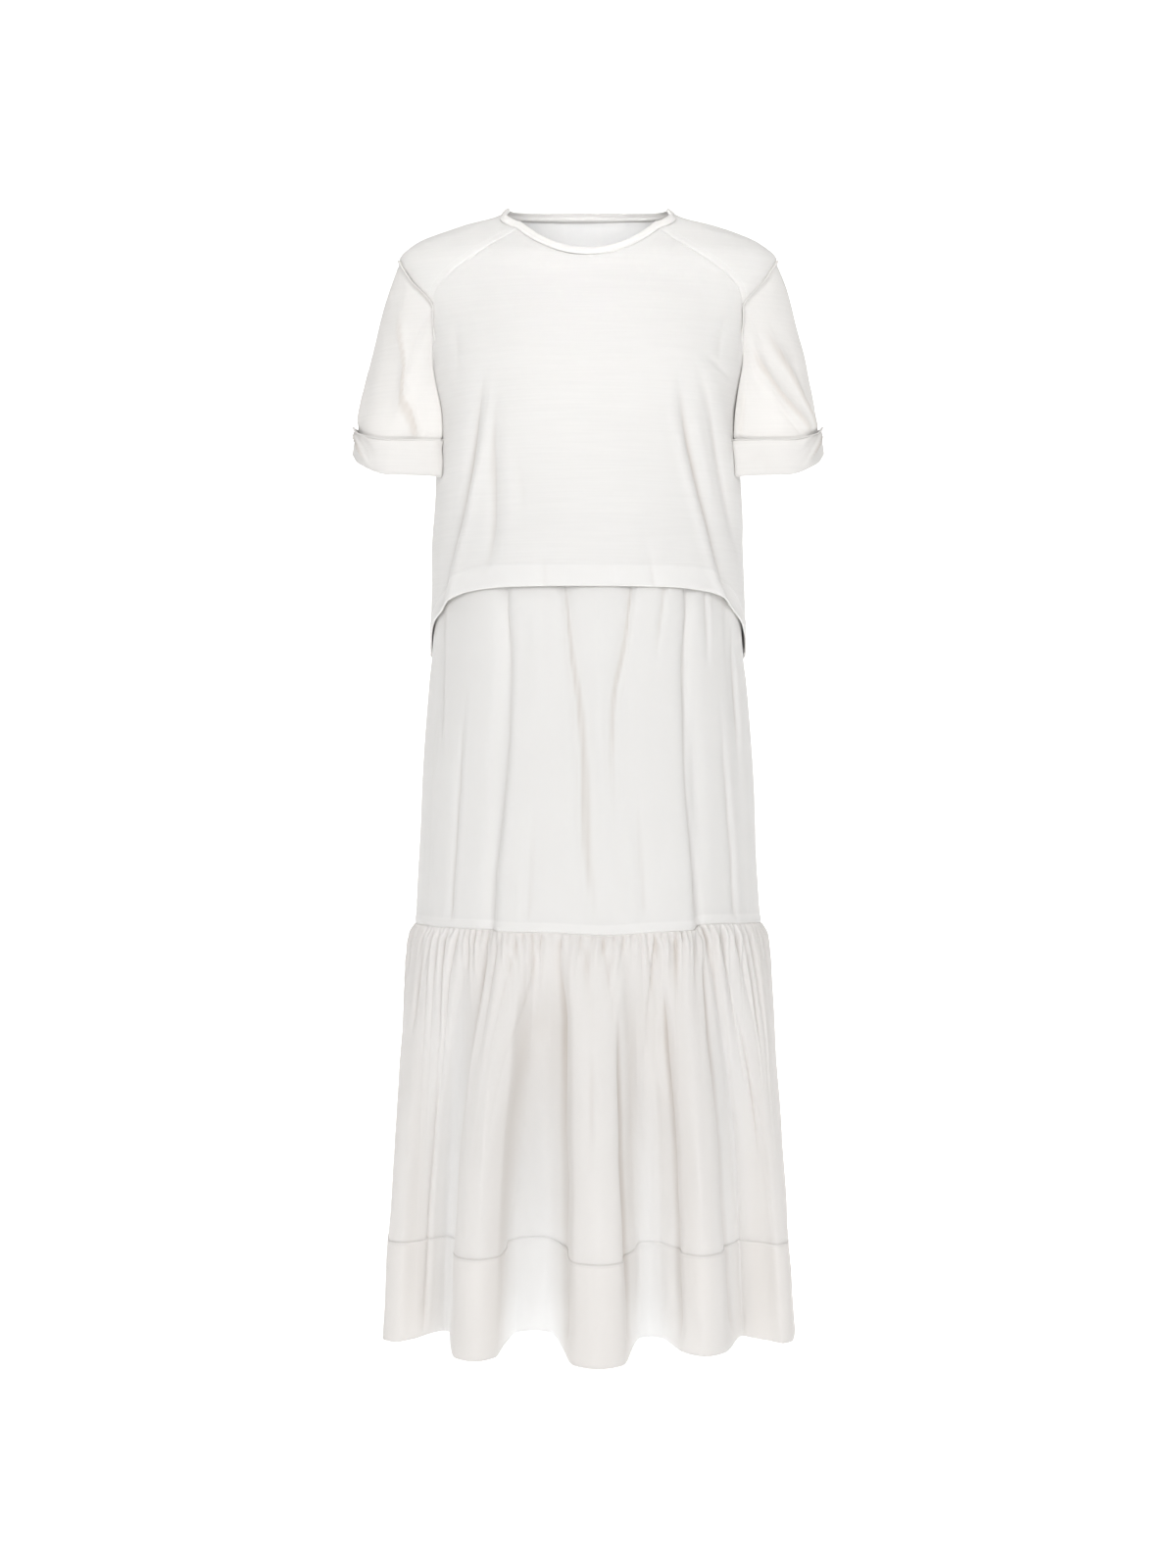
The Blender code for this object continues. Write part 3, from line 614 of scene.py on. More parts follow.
def cotton(name, colour, weave, crumple_depth, through, doubled=0.0, slub=0.0, hollows=False):
    """A white cotton: its weave and nap as bump, a slight change of colour, and soft sheen.

    weave gives its roughness, sheen, threads to the metre and thread depth.
    through is how much of the light goes in and comes out again, less for double cloth.
    doubled is how far up from its lower end the cut is double cloth; a lighter tone is painted
    there, painted light for double cloth, which shows less of the shade inside through it. slub is
    how strongly thicker yarns show as level streaks. hollows paints light on the cloth that hangs
    back between the folds, a lighter tone standing in for light coming through it. Where the cloth
    lies sunk in a fold, a darker, warmer tone is painted: painted shade.
    """
    roughness, sheen, threads_per_m, thread_depth = weave
    material = bpy.data.materials.new(name)
    material.use_nodes = True
    start = Wire(material.node_tree)
    cut = start.node("ShaderNodeUVMap", {"uv_map": "cut"}, {}, "UV")
    place = start.node("ShaderNodeTexCoord", {}, {}, "Object")
    along = start.part(cut, "Y")
    turn = 2 * math.pi * threads_per_m
    rib = (start.part(cut, "X") * turn).math("SINE")
    course = (along * turn).math("SINE")
    nap = start.noise(place, NAP_SCALE)
    crumple = start.noise(place, CRUMPLE_SCALE, 2.0, 0.55)
    height = (rib * course * 0.5 + nap) * thread_depth + crumple * crumple_depth
    bump = start.node("ShaderNodeBump", {}, {"Height": height, "Strength": 1.0, "Distance": 1.0})
    cloud = start.noise(place, CLOUD_SCALE)
    if slub:
        level = start.node("ShaderNodeVectorMath", {"operation": "MULTIPLY"},
                           {0: place, 1: YARN_STRETCH})
        cloud = (cloud + (start.noise(level, 1.0) - 0.5) * slub).math("MAXIMUM", 0.0)
    tone = start.mix(cloud, colour, tinted(colour, CLOUD_TINT))
    # Painted light: a lighter colour along the double cloth near the lower end of the cut.
    if doubled:
        band = start.ramp(along, doubled + 0.001, doubled - 0.001)
        tone = start.mix(band, tone, tinted(colour, DOUBLE_PAINTED_LIGHT))
    # Painted shade: the deeper the cloth lies in a fold, the darker and warmer its colour.
    sunk = start.node("ShaderNodeAttribute", {"attribute_name": "sunk"}, {}, "Fac")
    fold_shade = start.ramp(sunk, FOLD_SHADE_FROM, FOLD_SHADE_TO, "SMOOTHSTEP")
    tone = start.mix(fold_shade, tone, tinted(colour, FOLD_SHADE_TINT))
    # Painted light: a lighter colour where the cloth hangs back in a hollow between the folds.
    if hollows:
        back = start.ramp(start.part(place, "Y").math("ABSOLUTE"), *HOLLOW_DEPTH)
        aside = start.ramp(start.part(place, "X").math("ABSOLUTE"), *HOLLOW_ASIDE)
        tone = start.mix(back * aside, tone, HOLLOW_PAINTED_LIGHT)
    start.feed({"Base Color": tone, "Normal": bump, "Roughness": roughness,
                "Specular IOR Level": 0.2, "Sheen Weight": sheen, "Sheen Roughness": 0.5,
                "Subsurface Weight": through, "Subsurface Radius": (1.0, 0.97, 0.93),
                "Subsurface Scale": 0.0035})
    return material


KNIT = (0.9, 0.15, 1100, 0.00012)            # roughness, sheen, threads a metre, thread depth
PLAIN_WEAVE = (0.75, 0.08, 1500, 0.00006)
TWIST = (0.6, 0.1, 2500, 0.00003)
# The same white is copied lighter or darker for some parts: painted light on the neck binding and on
# the inside of the top, painted shade on the sleeves and the cuffs, and a darker, warmer painted
# shade on the flounce and its band.
JERSEY_COLOUR = (0.848, 0.834, 0.812, 1)
BOUND_LIT_COLOUR = (0.860, 0.848, 0.830, 1)
SLEEVE_SHADED_COLOUR = (0.815, 0.797, 0.775, 1)
INSIDE_LIT_COLOUR = (0.970, 0.965, 0.955, 1)
CUFF_SHADED_COLOUR = (0.775, 0.760, 0.742, 1)
POPLIN_COLOUR = (0.850, 0.835, 0.812, 1)
FLOUNCE_SHADED_COLOUR = (0.815, 0.785, 0.757, 1)
THREAD_COLOUR = (0.95, 0.945, 0.935, 1)
jersey = cotton("jersey", JERSEY_COLOUR, KNIT, 0.0004, 0.5, slub=1.6)
panel_jersey = cotton("panel_jersey", JERSEY_COLOUR, KNIT, 0.0004, 0.5, 0.029, 1.6)
bound_jersey = cotton("bound_jersey", BOUND_LIT_COLOUR, KNIT, 0.0002, 0.0)
sleeve_jersey = cotton("sleeve_jersey", SLEEVE_SHADED_COLOUR, KNIT, 0.0006, 0.4, slub=1.6)
inside_jersey = cotton("inside_jersey", INSIDE_LIT_COLOUR, KNIT, 0.0002, 0.5)
cuff_jersey = cotton("cuff_jersey", CUFF_SHADED_COLOUR, KNIT, 0.0006, 0.2, slub=1.6)
poplin = cotton("poplin", POPLIN_COLOUR, PLAIN_WEAVE, 0.0006, 0.5, 0.010)
flounce_poplin = cotton("flounce_poplin", FLOUNCE_SHADED_COLOUR, PLAIN_WEAVE, 0.0006, 0.5, hollows=True)
band_poplin = cotton("band_poplin", FLOUNCE_SHADED_COLOUR, PLAIN_WEAVE, 0.0006, 0.25, hollows=True)
thread = cotton("thread", THREAD_COLOUR, TWIST, 0.0, 0.0)
print("cottons:", ", ".join(m.name for m in (jersey, bound_jersey, poplin, band_poplin, thread)))

# %% [markdown]
# ### Paper
# The floor glows a little, more towards the backdrop, so that it stays as pale as the cloth.
# %% Paper
GLOW_FROM, GLOW_TO = -0.6, 0.9               # along Y
paper = bpy.data.materials.new("pale_floor")
paper.use_nodes = True
start = Wire(paper.node_tree)
away = start.part(start.node("ShaderNodeTexCoord", {}, {}, "Object"), "Y")
glow = start.mix(start.ramp(away, GLOW_FROM, GLOW_TO), (0.35, 0.35, 0.35, 1), (1, 1, 1, 1))
start.feed({"Base Color": (0.85, 0.85, 0.85, 1), "Roughness": 0.9, "Emission Strength": 0.8,
            "Emission Color": glow})
floor.data.materials.append(paper)
print("the floor glows from", GLOW_FROM, "to", GLOW_TO)

# %% [markdown]
# ## Front and back of the top
# Each is one piece of jersey from the neckline and the shoulder seams down to the hem. A point
# of it is a share of its half width across, and a share of its height up.
# %% Panels of the top
JERSEY_WALL = 0.0009
TURNED_IN = 0.0040           # how far a seam's allowance goes inside
TOP_TURNED_IN = 0.0011       # less at the top edge, where it would show inside the neck
HEM_GAP = 0.0012             # between the middles of a hem's two layers
TOP_HEM_SHARE = 0.062        # the turned hem's part of a panel's height


def panel_top(side, share):
    """The top edge of the front (side 1) or the back (side -1) at a share of its half width."""
    middle_z = -NECK_FRONT_DROP if side == 1 else NECK_BACK_RISE
    side_z = -NECK_SIDE_DROP if side == 1 else NECK_BACK_SIDE
    across = np.clip(share / NECK_SHARE, 0.0, 1.0)
    seam_x, seam_z = SADDLE_SEAM[side].read((share - NECK_SHARE) / (1 - NECK_SHARE))
    beyond = share > NECK_SHARE
    neck_z = middle_z + (side_z - middle_z) * across ** NECK_CURVE
    return np.where(beyond, seam_x, across * NECK_HALF), np.where(beyond, seam_z, neck_z)


def panel_place(side):
    def place(across, up):
        share = np.abs(across)
        edge_x, edge_z = panel_top(side, share)
        hem_z = TOP_HEM[side].read(share)
        z = hem_z + (edge_z - hem_z) * up
        lean = np.clip((z - UNDERARM_Z) / (edge_z - UNDERARM_Z), 0.0, None) ** EDGE_LEAN
        low_x = top_point(90 * share, np.full_like(z, UNDERARM_Z))[..., 0]
        above = round_at(low_x + (edge_x - low_x) * lean, z)
        turned = np.copysign(np.where(z > UNDERARM_Z, above, 90 * share), across)
        point = top_point(turned if side == 1 else 180 - turned, z)
        point[..., 1] -= side * SEAM / 2
        return point
    return place


def seam_groove(distance):
    """Cloth dips into a seam and stands up a little beside it."""
    return 0.0004 * bell(distance - 0.0035, 0.0020) - 0.0003 * bell(distance, 0.0012)


print("the front is", round(float(2 * panel_top(1, np.array(1.0))[0]), 3), "m wide at the underarm")

# %% [markdown]
# The creases of the top, each a line from above to below.
# %% Creases of the top
FRONT_CREASES = (
    # line of (down, across) points, depth, width, lean, fade in, fade out
    ([(0.185, -0.108), (0.24, -0.116), (0.296, -0.125), (0.346, -0.137), (0.406, -0.152),
      (0.46, -0.163)], -0.0077, 0.009, 0.45, 0.4, 0.1),
    ([(0.2, -0.094), (0.28, -0.1), (0.35, -0.099), (0.39, -0.103), (0.43, -0.122)],
     -0.005, 0.011, 0.3, 0.5, 0.3),
    ([(0.25, -0.112), (0.33, -0.12), (0.4, -0.133)], 0.0016, 0.01, 0, 0.5, 0.5),
    ([(0.26, -0.076), (0.38, -0.064)], -0.0016, 0.013, 0, 0.5, 0.4),
    ([(0.19, 0.092), (0.266, 0.104), (0.314, 0.116), (0.366, 0.131), (0.418, 0.146),
      (0.46, 0.168)], -0.0077, 0.009, -0.45, 0.4, 0.1),
    ([(0.18, 0.11), (0.24, 0.1305), (0.296, 0.1415), (0.352, 0.154), (0.41, 0.168)],
     -0.0057, 0.0085, 0.3, 0.4, 0.3),
    ([(0.22, 0.108), (0.3, 0.126), (0.37, 0.142)], 0.0016, 0.01, 0, 0.5, 0.5),
    ([(0.175, 0.118), (0.205, 0.158)], -0.002, 0.01, 0, 0.5, 0.5),
    ([(0.375, -0.048), (0.44, -0.044)], -0.0017, 0.007, 0, 0.6, 0),
    ([(0.37, 0.059), (0.44, 0.071)], -0.0019, 0.007, 0, 0.6, 0),
    ([(0.395, -0.022), (0.44, -0.02)], 0.001, 0.008, 0, 0.6, 0),
    ([(0.385, 0.03), (0.44, 0.034)], 0.001, 0.009, 0, 0.6, 0),
    ([(0.125, -0.15), (0.17, -0.14), (0.23, -0.138)], -0.0022, 0.009, 0, 0.4, 0.6),
    ([(0.125, 0.15), (0.16, 0.141), (0.21, 0.136)], -0.0022, 0.009, 0, 0.4, 0.6))
BACK_CREASES = (
    ([(0.2, -0.11), (0.28, -0.122), (0.36, -0.134), (0.45, -0.142), (0.51, -0.145)],
     -0.0055, 0.01, 0.3, 0.4, 0.1),
    ([(0.16, 0.112), (0.26, 0.118), (0.36, 0.128), (0.44, 0.13), (0.51, 0.14)],
     -0.0055, 0.01, -0.3, 0.4, 0.1),
    ([(0.22, -0.06), (0.34, -0.068), (0.44, -0.082), (0.51, -0.086)],
     -0.0042, 0.013, 0.2, 0.5, 0.1),
    ([(0.24, 0.052), (0.33, 0.066), (0.43, 0.072), (0.51, 0.09)], -0.0042, 0.013, -0.2, 0.5, 0.1),
    ([(0.28, -0.008), (0.38, 0.004), (0.51, 0.01)], -0.0032, 0.015, 0, 0.6, 0.1),
    ([(0.3, 0.03), (0.4, 0.036), (0.51, 0.044)], 0.002, 0.013, 0, 0.5, 0.1),
    ([(0.3, -0.036), (0.4, -0.04), (0.51, -0.046)], 0.002, 0.013, 0, 0.5, 0.1),
    ([(0.06, -0.12), (0.12, -0.09), (0.16, -0.08)], -0.0018, 0.014, 0, 0.5, 0.5),
    ([(0.06, 0.12), (0.11, 0.094), (0.15, 0.086)], -0.0018, 0.014, 0, 0.5, 0.5))


print(len(FRONT_CREASES), "creases in front and", len(BACK_CREASES), "behind")


# %% [markdown]
# Now the two panels are laid over the form. The hem is turned up inside and stitched, so the
# grid starts inside the hem, runs down to the fold and comes up outside. The other edges turn
# under, as a seam's allowance does.
# %% Front and back
def panel_lift(side, place, table):
    def lift(across, up):
        points = place(across, up)
        share = np.abs(across)
        height = panel_top(side, share)[1] - TOP_HEM[side].read(share)
        total = creases(points[..., 0], -points[..., 2], table)
        total = total + ripples(points, 0.11, 0.0008, 3 + side)
        total = total + seam_groove((1 - up) * height) + seam_groove((1 - share) * 0.2)
        hem = TOP_HEM_SHARE * height
        return total - 0.0004 * bell(up * height - hem, 0.0012)
    return lift


HEM_ROWS = ((1, 0.96), (2, 0.87))            # stitch row, and its part of the way up the hem
TOP_PANELS = (
    # side, word, creases, columns, flat width and length, area
    (1, "front", FRONT_CREASES, 216, (0.54, 0.49), 0.190),
    (-1, "back", BACK_CREASES, 170, (0.47, 0.54), 0.215))
inside_hem = [(TOP_HEM_SHARE * (1 - i / 6), HEM_GAP) for i in range(7)] + [(-0.0015, HEM_GAP / 2)]
for side, word, table, count, cut, area in TOP_PANELS:
    place = panel_place(side)
    panel = Surface(place, panel_lift(side, place, table), (0.002, 0.002), side, 0.045)
    columns = spread(-1.0, 1.0, count, TURNED_IN, TURNED_IN)
    rows = inside_hem + spread(0.0, 1.0, 128, 0, TOP_TURNED_IN, 1)
    # The top's inside faces take inside_jersey, a lighter copy of the jersey: painted light inside
    # the neck.
    piece = cloth(word + "_of_top", panel, columns, rows, JERSEY_WALL, panel_jersey, cut,
                  lining=inside_jersey)
    hem_rows = [stitches(word + "_hem_row_" + str(row), panel,
                         [(x, TOP_HEM_SHARE * up) for x in np.linspace(-0.985, 0.985, 80)],
                         thread, JERSEY_WALL / 2)
                for row, up in HEM_ROWS]
    sewn(word + "_panel")

# %% [markdown]
# ## Shoulder pieces
# A saddle of jersey lies over each shoulder, between the front and the back, and runs from the
# neckline out to the sleeve. Its seams show as soft light ridges.
# %% Shoulder pieces
def saddle_place(hand):
    def place(out, over):
        front = over >= 0
        front_x, front_z = SADDLE_SEAM[1].read(out)
        back_x, back_z = SADDLE_SEAM[-1].read(out)
        seam_z = np.where(front, front_z, back_z)
        ridge_z = RIDGE.read(out)
        turned = 90 + (round_at(np.where(front, front_x, back_x), seam_z) - 90) * np.abs(over)
        z = ridge_z + (seam_z - ridge_z) * over ** 2
        point = top_point(np.where(front, turned, 180 - turned), z)
        point[..., 0] *= hand
        return point
    return place


SADDLE_CREASE = [(0.12, 0.55), (0.5, 0.42), (0.95, 0.30)]


def saddle_lift(place):
    def lift(out, over):
        total = ripples(place(out, over), 0.07, 0.0006, 8)
        total = total + seam_groove((1 - np.abs(over)) * 0.06) + seam_groove((1 - out) * 0.11)
        return total + crease(over, out, SADDLE_CREASE, -0.0016, 0.16)
    return lift


SADDLE_CUT = (0.15, 0.20)    # flat, from the neck out to the sleeve and from front to back
SADDLE_ROW = 0.955           # how near the seams their stitches run
for hand, word in HANDS:
    place = saddle_place(hand)
    saddle = Surface(place, saddle_lift(place), (0.003, 0.003), -hand)
    columns = spread(0.0, 1.0, 44, 0, TURNED_IN)
    rows = spread(-0.995, 0.995, 50, TURNED_IN, TURNED_IN)
    piece = cloth(word + "_shoulder", saddle, columns, rows, JERSEY_WALL, jersey, SADDLE_CUT)
    seam_rows = [stitches(word + "_shoulder_row_" + at, saddle,
                          [(out, side * SADDLE_ROW) for out in np.linspace(0.06, 0.99, 30)],
                          thread, JERSEY_WALL / 2)
                 for side, at in SIDES]
    sewn("saddle_" + word)

# %% [markdown]
# ## Sleeves and cuffs
# The sleeve is a tube from the dropped armhole down to the turned-up end. The armhole is a
# closed line over both panels and the shoulder piece; the sleeve's first row sits just beyond
# it. The cuff is the sleeve's end turned up outside, caught down with a small tuck at the outer
# side. These are their sizes.
# %% Sizes of the sleeves
ARM_MIDDLE_X = 0.2117
ARM_HALF_WIDTH = 0.0411
ARM_HALF_DEPTH = 0.0660
INNER_ROUNDNESS = 4.6
BESIDE_BODY = 0.9            # how closely the arm's inner side follows the body's side
BODY_GAP = 0.0018            # between the sleeve's front inner side and the body's
BESIDE_ROUND = (140, 24)     # where the sleeve lies beside the body: its middle and width, degrees
TUCK_ROUND = 22.0            # where the cuff is caught down, in degrees
TUCK_DEPTH = 0.0018
TUCK_WIDTH = 18.0
SLEEVE_BEYOND = 0.0002       # from the armhole to the first row, where the sleeve runs on
SLEEVE_OUTSIDE = 0.0010      # and where it folds back over the edge
SLEEVE_FULLNESS = 0.0045
SLEEVE_INWARD = 0.0018
SLEEVE_ABOVE_CUFF = 0.0040
CUFF_INNER_HEIGHT = 0.016
CUFF_JOIN = 0.0013
CUFF_SPACE = 0.0026          # between the sleeve and the cuff's outer layer
CUFF_FOLD = 0.0022           # how far the fold hangs below the ring
CUFF_FLARE = 0.0052
FOLD_START = 0.72            # the fold's part of the cuff's strip: 0 free edge, 2 inner edge
FOLD_END = 1.28

CUFF_BOTTOM = Table("round z", [
    (0.0, -0.2690),
    (45.0, -0.2860),
    (90.0, -0.3000),
    (135.0, -0.3010),
    (180.0, -0.2905),
    (270.0, -0.2715)], turn=360.0)
CUFF_TOP = Table("round z", [
    (0.0, -0.2410),
    (45.0, -0.2560),
    (90.0, -0.2650),
    (135.0, -0.2640),
    (180.0, -0.2540),
    (270.0, -0.2370)], turn=360.0)
SLEEVE_ROUND = Table("around round", [
    (0.0, 180.0),
    (0.5, 122.0),
    (1.0, 72.0),
    (1.5, 0.0),
    (2.0, -72.0),
    (2.5, -122.0),
    (3.0, -180.0)])
print("a sleeve ends in a ring", 2 * ARM_HALF_WIDTH, "m wide and", 2 * ARM_HALF_DEPTH, "m deep")


# %% [markdown]
# The ring follows the side of the body, which narrows towards the front and the back.
# %% Ring of the arm
def narrowing(y, z):
    """How much narrower the top is at a depth y than at its widest."""
    half, front, back = TOP.read(z)
    deep = np.clip(np.abs(y) / np.where(y < 0, front, back), 0.0, 1.0)
    return half * (1 - (1 - deep ** ROUNDNESS) ** (1 / ROUNDNESS))


def near_body(x, y, z, round_deg):
    """How far a point of the arm's front inner side still has to go to lie beside the body."""
    z = z + np.zeros_like(x)
    beside = TOP.read(z)[0] - narrowing(y, z) + BODY_GAP
    middle, width = BESIDE_ROUND
    return np.clip(x - beside, 0.0, None) * bell(signed(round_deg) - middle, width)


def outward(round_deg):
    """1 at the arm's outer side, 0 beside the body."""
    return 0.5 + 0.5 * np.cos(np.radians(round_deg))


def arm_section(round_deg, z, swell):
    """Points on the ring that the right sleeve ends in, dented where the cuff is caught down.

    Its inner side follows the side of the body.
    """
    turn = np.radians(round_deg)
    swell = swell - TUCK_DEPTH * bell(signed(round_deg - TUCK_ROUND), TUCK_WIDTH)
    roundness = np.where(np.cos(turn) < 0, INNER_ROUNDNESS, ROUNDNESS)
    x = ARM_MIDDLE_X + (ARM_HALF_WIDTH + swell) * bend(np.cos(turn), 2 / roundness)
    y = -(ARM_HALF_DEPTH + swell) * bend(np.sin(turn), 2 / roundness)
    inner = np.clip((ARM_MIDDLE_X - x) / ARM_HALF_WIDTH, 0.0, 1.0)
    x = x - BESIDE_BODY * inner * narrowing(y, z + np.zeros_like(x))
    outermost = x + (CUFF_SPACE - swell) * bend(np.cos(turn), 2 / roundness)
    return np.stack([x - near_body(outermost, y, z, round_deg), y, z + np.zeros_like(x)], axis=-1)


print("the arm's outer side counts", outward(0.0), "and its inner side", outward(180.0))


# %% [markdown]
# The other end of the sleeve is the armhole, and the way the cloth faces there.
# %% Armhole
def armhole_edge(around):
    """The right armhole: 0 at the underarm, up the front, over the shoulder, down the back to 3."""
    around = np.where((around < 0) | (around > 3), around % 3, around)
    over = (around > 1) & (around < 2)
    shoulder = saddle_place(1)(np.ones_like(around), np.clip(3 - 2 * around, -1.0, 1.0))
    climb = np.where(around <= 1, around, 3 - around)
    up = UNDERARM_SHARE + (1 - UNDERARM_SHARE) * np.clip(climb, 0.0, 1.0)
    front = panel_place(1)(np.ones_like(around), up)
    back = panel_place(-1)(np.ones_like(around), up)
    edge = np.where((around <= 1)[..., None], front, back)
    edge[..., 1] = np.where((around <= 0) | (around >= 3), 0.0, edge[..., 1])
    return np.where(over[..., None], shoulder, edge)


def unit(vectors):
    return vectors / np.maximum(np.linalg.norm(vectors, axis=-1), 1e-12)[..., None]


def form_normal(point):
    """The way the top's form faces at points on its right half."""
    turned = round_at(point[..., 0], point[..., 2])
    turned = np.where(point[..., 1] > 0, 180 - turned, turned)
    z = point[..., 2]
    ahead = top_point(turned + 1, z) - top_point(turned - 1, z)
    upward = top_point(turned, z + 0.001) - top_point(turned, z - 0.001)
    return unit(np.cross(ahead, upward))


print("the underarm is at", np.round(armhole_edge(np.array([0.0]))[0], 3))


# %% [markdown]
# Between the two, the sleeve is a blend, fuller at the outer side and close beside the body.
# %% Form of the sleeves
def sleeve_place(hand):
    def place(around, down):
        round_deg = SLEEVE_ROUND.read(around)
        turn = round_deg % 360
        cuff_z = CUFF_TOP.read(turn) + SLEEVE_ABOVE_CUFF
        end_z = CUFF_BOTTOM.read(turn) + CUFF_INNER_HEIGHT + CUFF_JOIN
        below = arm_section(round_deg, cuff_z + (end_z - cuff_z) * (down - 1), 0.0)
        target = arm_section(round_deg, cuff_z, 0.0)
        edge = armhole_edge(around)
        ahead = armhole_edge(around + 0.01) - armhole_edge(around - 0.01)
        normal = form_normal(edge)
        beyond = unit(np.cross(ahead, normal))
        folded = (1 - np.sum(unit(target - edge) * beyond, axis=-1)) / 2
        start = (edge + beyond * (SLEEVE_BEYOND * (1 - folded))[..., None]
                 + normal * (SLEEVE_OUTSIDE * folded)[..., None])
        point = start + (target - start) * down[..., None]
        full = SLEEVE_FULLNESS * np.sin(math.pi * np.clip(down, 0, 1) ** 0.8)
        point[..., 0] += full * outward(round_deg)
        inner = 0.5 - 0.5 * np.cos(np.radians(round_deg))
        pulled = fade(down, 0.1, 0.5) * (1 - fade(down, 0.9, 1.0))
        point[..., 0] -= SLEEVE_INWARD * inner ** 2 * pulled
        point = np.where((down > 1)[..., None], below, point)
        close = fade(down, 0.02, 0.30) * (1 - fade(down, 1.0, 1.2))
        point[..., 0] -= close * near_body(point[..., 0], point[..., 1], point[..., 2], round_deg)
        point[..., 0] *= hand
        return point
    return place


SLEEVE_CREASES = {
    # line of (down, around) points, depth, width, lean, fade in, fade out
    -1: (
        ([(0.1, 1.2), (0.35, 1.06), (0.55, 0.92), (0.8, 0.8), (1.1, 0.7)],
         -0.0056, 0.045, -0.4, 0.4, 0),
        ([(0.25, 0.84), (0.6, 0.74), (1.1, 0.58)], 0.0016, 0.1, 0, 0.5, 0),
        ([(0.02, 1.16), (0.25, 1.1), (0.45, 1.12)], -0.0016, 0.06, 0, 0.3, 0.7),
        ([(0.45, 1.45), (0.8, 1.38), (1.1, 1.36)], -0.0036, 0.06, 0, 0.6, 0),
        ([(0.2, 2.2), (0.7, 2.3), (1.1, 2.42)], -0.0041, 0.09, -0.3, 0.4, 0),
        ([(0.3, 1.86), (0.7, 1.92), (1.1, 1.98)], -0.0024, 0.08, 0, 0.5, 0)),
    1: (
        ([(0.08, 0.8), (0.4, 0.84), (0.75, 0.98), (1.1, 1.18)], -0.006, 0.062, -0.4, 0.4, 0),
        ([(0.12, 1.02), (0.5, 1.08), (0.8, 1.16), (1.1, 1.26)], -0.0053, 0.052, 0.3, 0.4, 0),
        ([(0.3, 0.62), (0.7, 0.6), (1.1, 0.56)], -0.0034, 0.08, 0, 0.5, 0),
        ([(0.2, 2.25), (0.7, 2.3), (1.1, 2.36)], -0.0041, 0.09, 0.3, 0.4, 0),
        ([(0.35, 1.9), (0.7, 1.84), (1.1, 1.76)], -0.0026, 0.08, 0, 0.5, 0))}


def sleeve_lift(hand, place):
    def lift(around, down):
        total = creases(around, down, SLEEVE_CREASES[hand]) * (1 - fade(down, 0.97, 1.02))
        wave = ripples(place(around, down), 0.06, 0.0006, 20 + hand)
        return total + wave * (1 - fade(down, 0.9, 1.0)) + seam_groove(down * 0.15)
    return lift


SLEEVE_CUT = (0.40, 0.20)    # flat, round the arm and down to the cuff
for hand, word in HANDS:
    place = sleeve_place(hand)
    sleeve = Surface(place, sleeve_lift(hand, place), (0.01, 0.01), hand, 0.08)
    columns = spread(0.0, 3.0, 120)
    rows = spread(0.0, 1.0, 64, TURNED_IN, 0) + spread(1.0, 2.0, 4)[1:]
    piece = cloth(word + "_sleeve", sleeve, columns, rows, JERSEY_WALL, sleeve_jersey, SLEEVE_CUT,
                  ring=True)
    sewn("sleeve_" + word)

# %% [markdown]
# ### Cuffs
# One strip of jersey goes down the outside, round the fold and a little way up inside. Its free
# edge hugs the sleeve, and a slanting fold runs down from the tuck at the outer side.
# %% Cuffs
def cuff_place(hand):
    def place(round_deg, strip):
        turn = round_deg % 360
        top_z = CUFF_TOP.read(turn)
        fold_z = CUFF_BOTTOM.read(turn)
        swing = math.pi * np.clip((strip - FOLD_START) / (FOLD_END - FOLD_START), 0.0, 1.0)
        layer = CUFF_SPACE * (0.5 + 0.5 * np.cos(swing))
        flare = CUFF_FLARE * np.minimum(strip, 2 - strip) * outward(round_deg)
        up_z = top_z + (fold_z - top_z) * strip / FOLD_START
        under_z = fold_z - CUFF_FOLD * np.sin(swing)
        inner_z = fold_z + CUFF_INNER_HEIGHT * (strip - FOLD_END) / (2 - FOLD_END)
        z = np.where(strip <= FOLD_START, up_z, np.where(strip <= FOLD_END, under_z, inner_z))
        point = arm_section(round_deg, z, layer + flare)
        point[..., 0] *= hand
        return point
    return place


CUFF_CREASES = {
    # line of (down the strip, degrees round) points, depth, width, lean, fade in, fade out
    -1: (
        ([(-0.05, 27), (0.25, 40), (0.7, 66)], -0.0066, 5, 0.2, 0.3, 0.4),
        ([(0, 44), (0.45, 74)], 0.0014, 8, 0, 0, 0.5),
        ([(0, 118), (0.7, 112)], -0.0018, 9, 0, 0, 0.5),
        ([(0, 230), (0.7, 236)], -0.002, 10, 0, 0, 0.4)),
    1: (
        ([(-0.05, 27), (0.25, 42), (0.7, 68)], -0.0066, 5, 0.2, 0.3, 0.4),
        ([(0, 46), (0.45, 78)], 0.0014, 8, 0, 0, 0.5),
        ([(0, 96), (0.7, 104)], -0.0018, 9, 0, 0, 0.5),
        ([(0, 250), (0.7, 240)], -0.002, 10, 0, 0, 0.4))}


def cuff_lift(hand, place):
    def lift(round_deg, strip):
        total = creases(round_deg, strip, CUFF_CREASES[hand])
        total = total + ripples(place(round_deg, strip), 0.035, 0.0006, 30 + hand)
        outer = outward(round_deg)
        hug = -(0.0013 + 0.0008 * outer) * bell(strip, 0.09 + 0.12 * outer)
        return (total + hug) * (1 - fade(strip, 0.7, 1.0))
    return lift


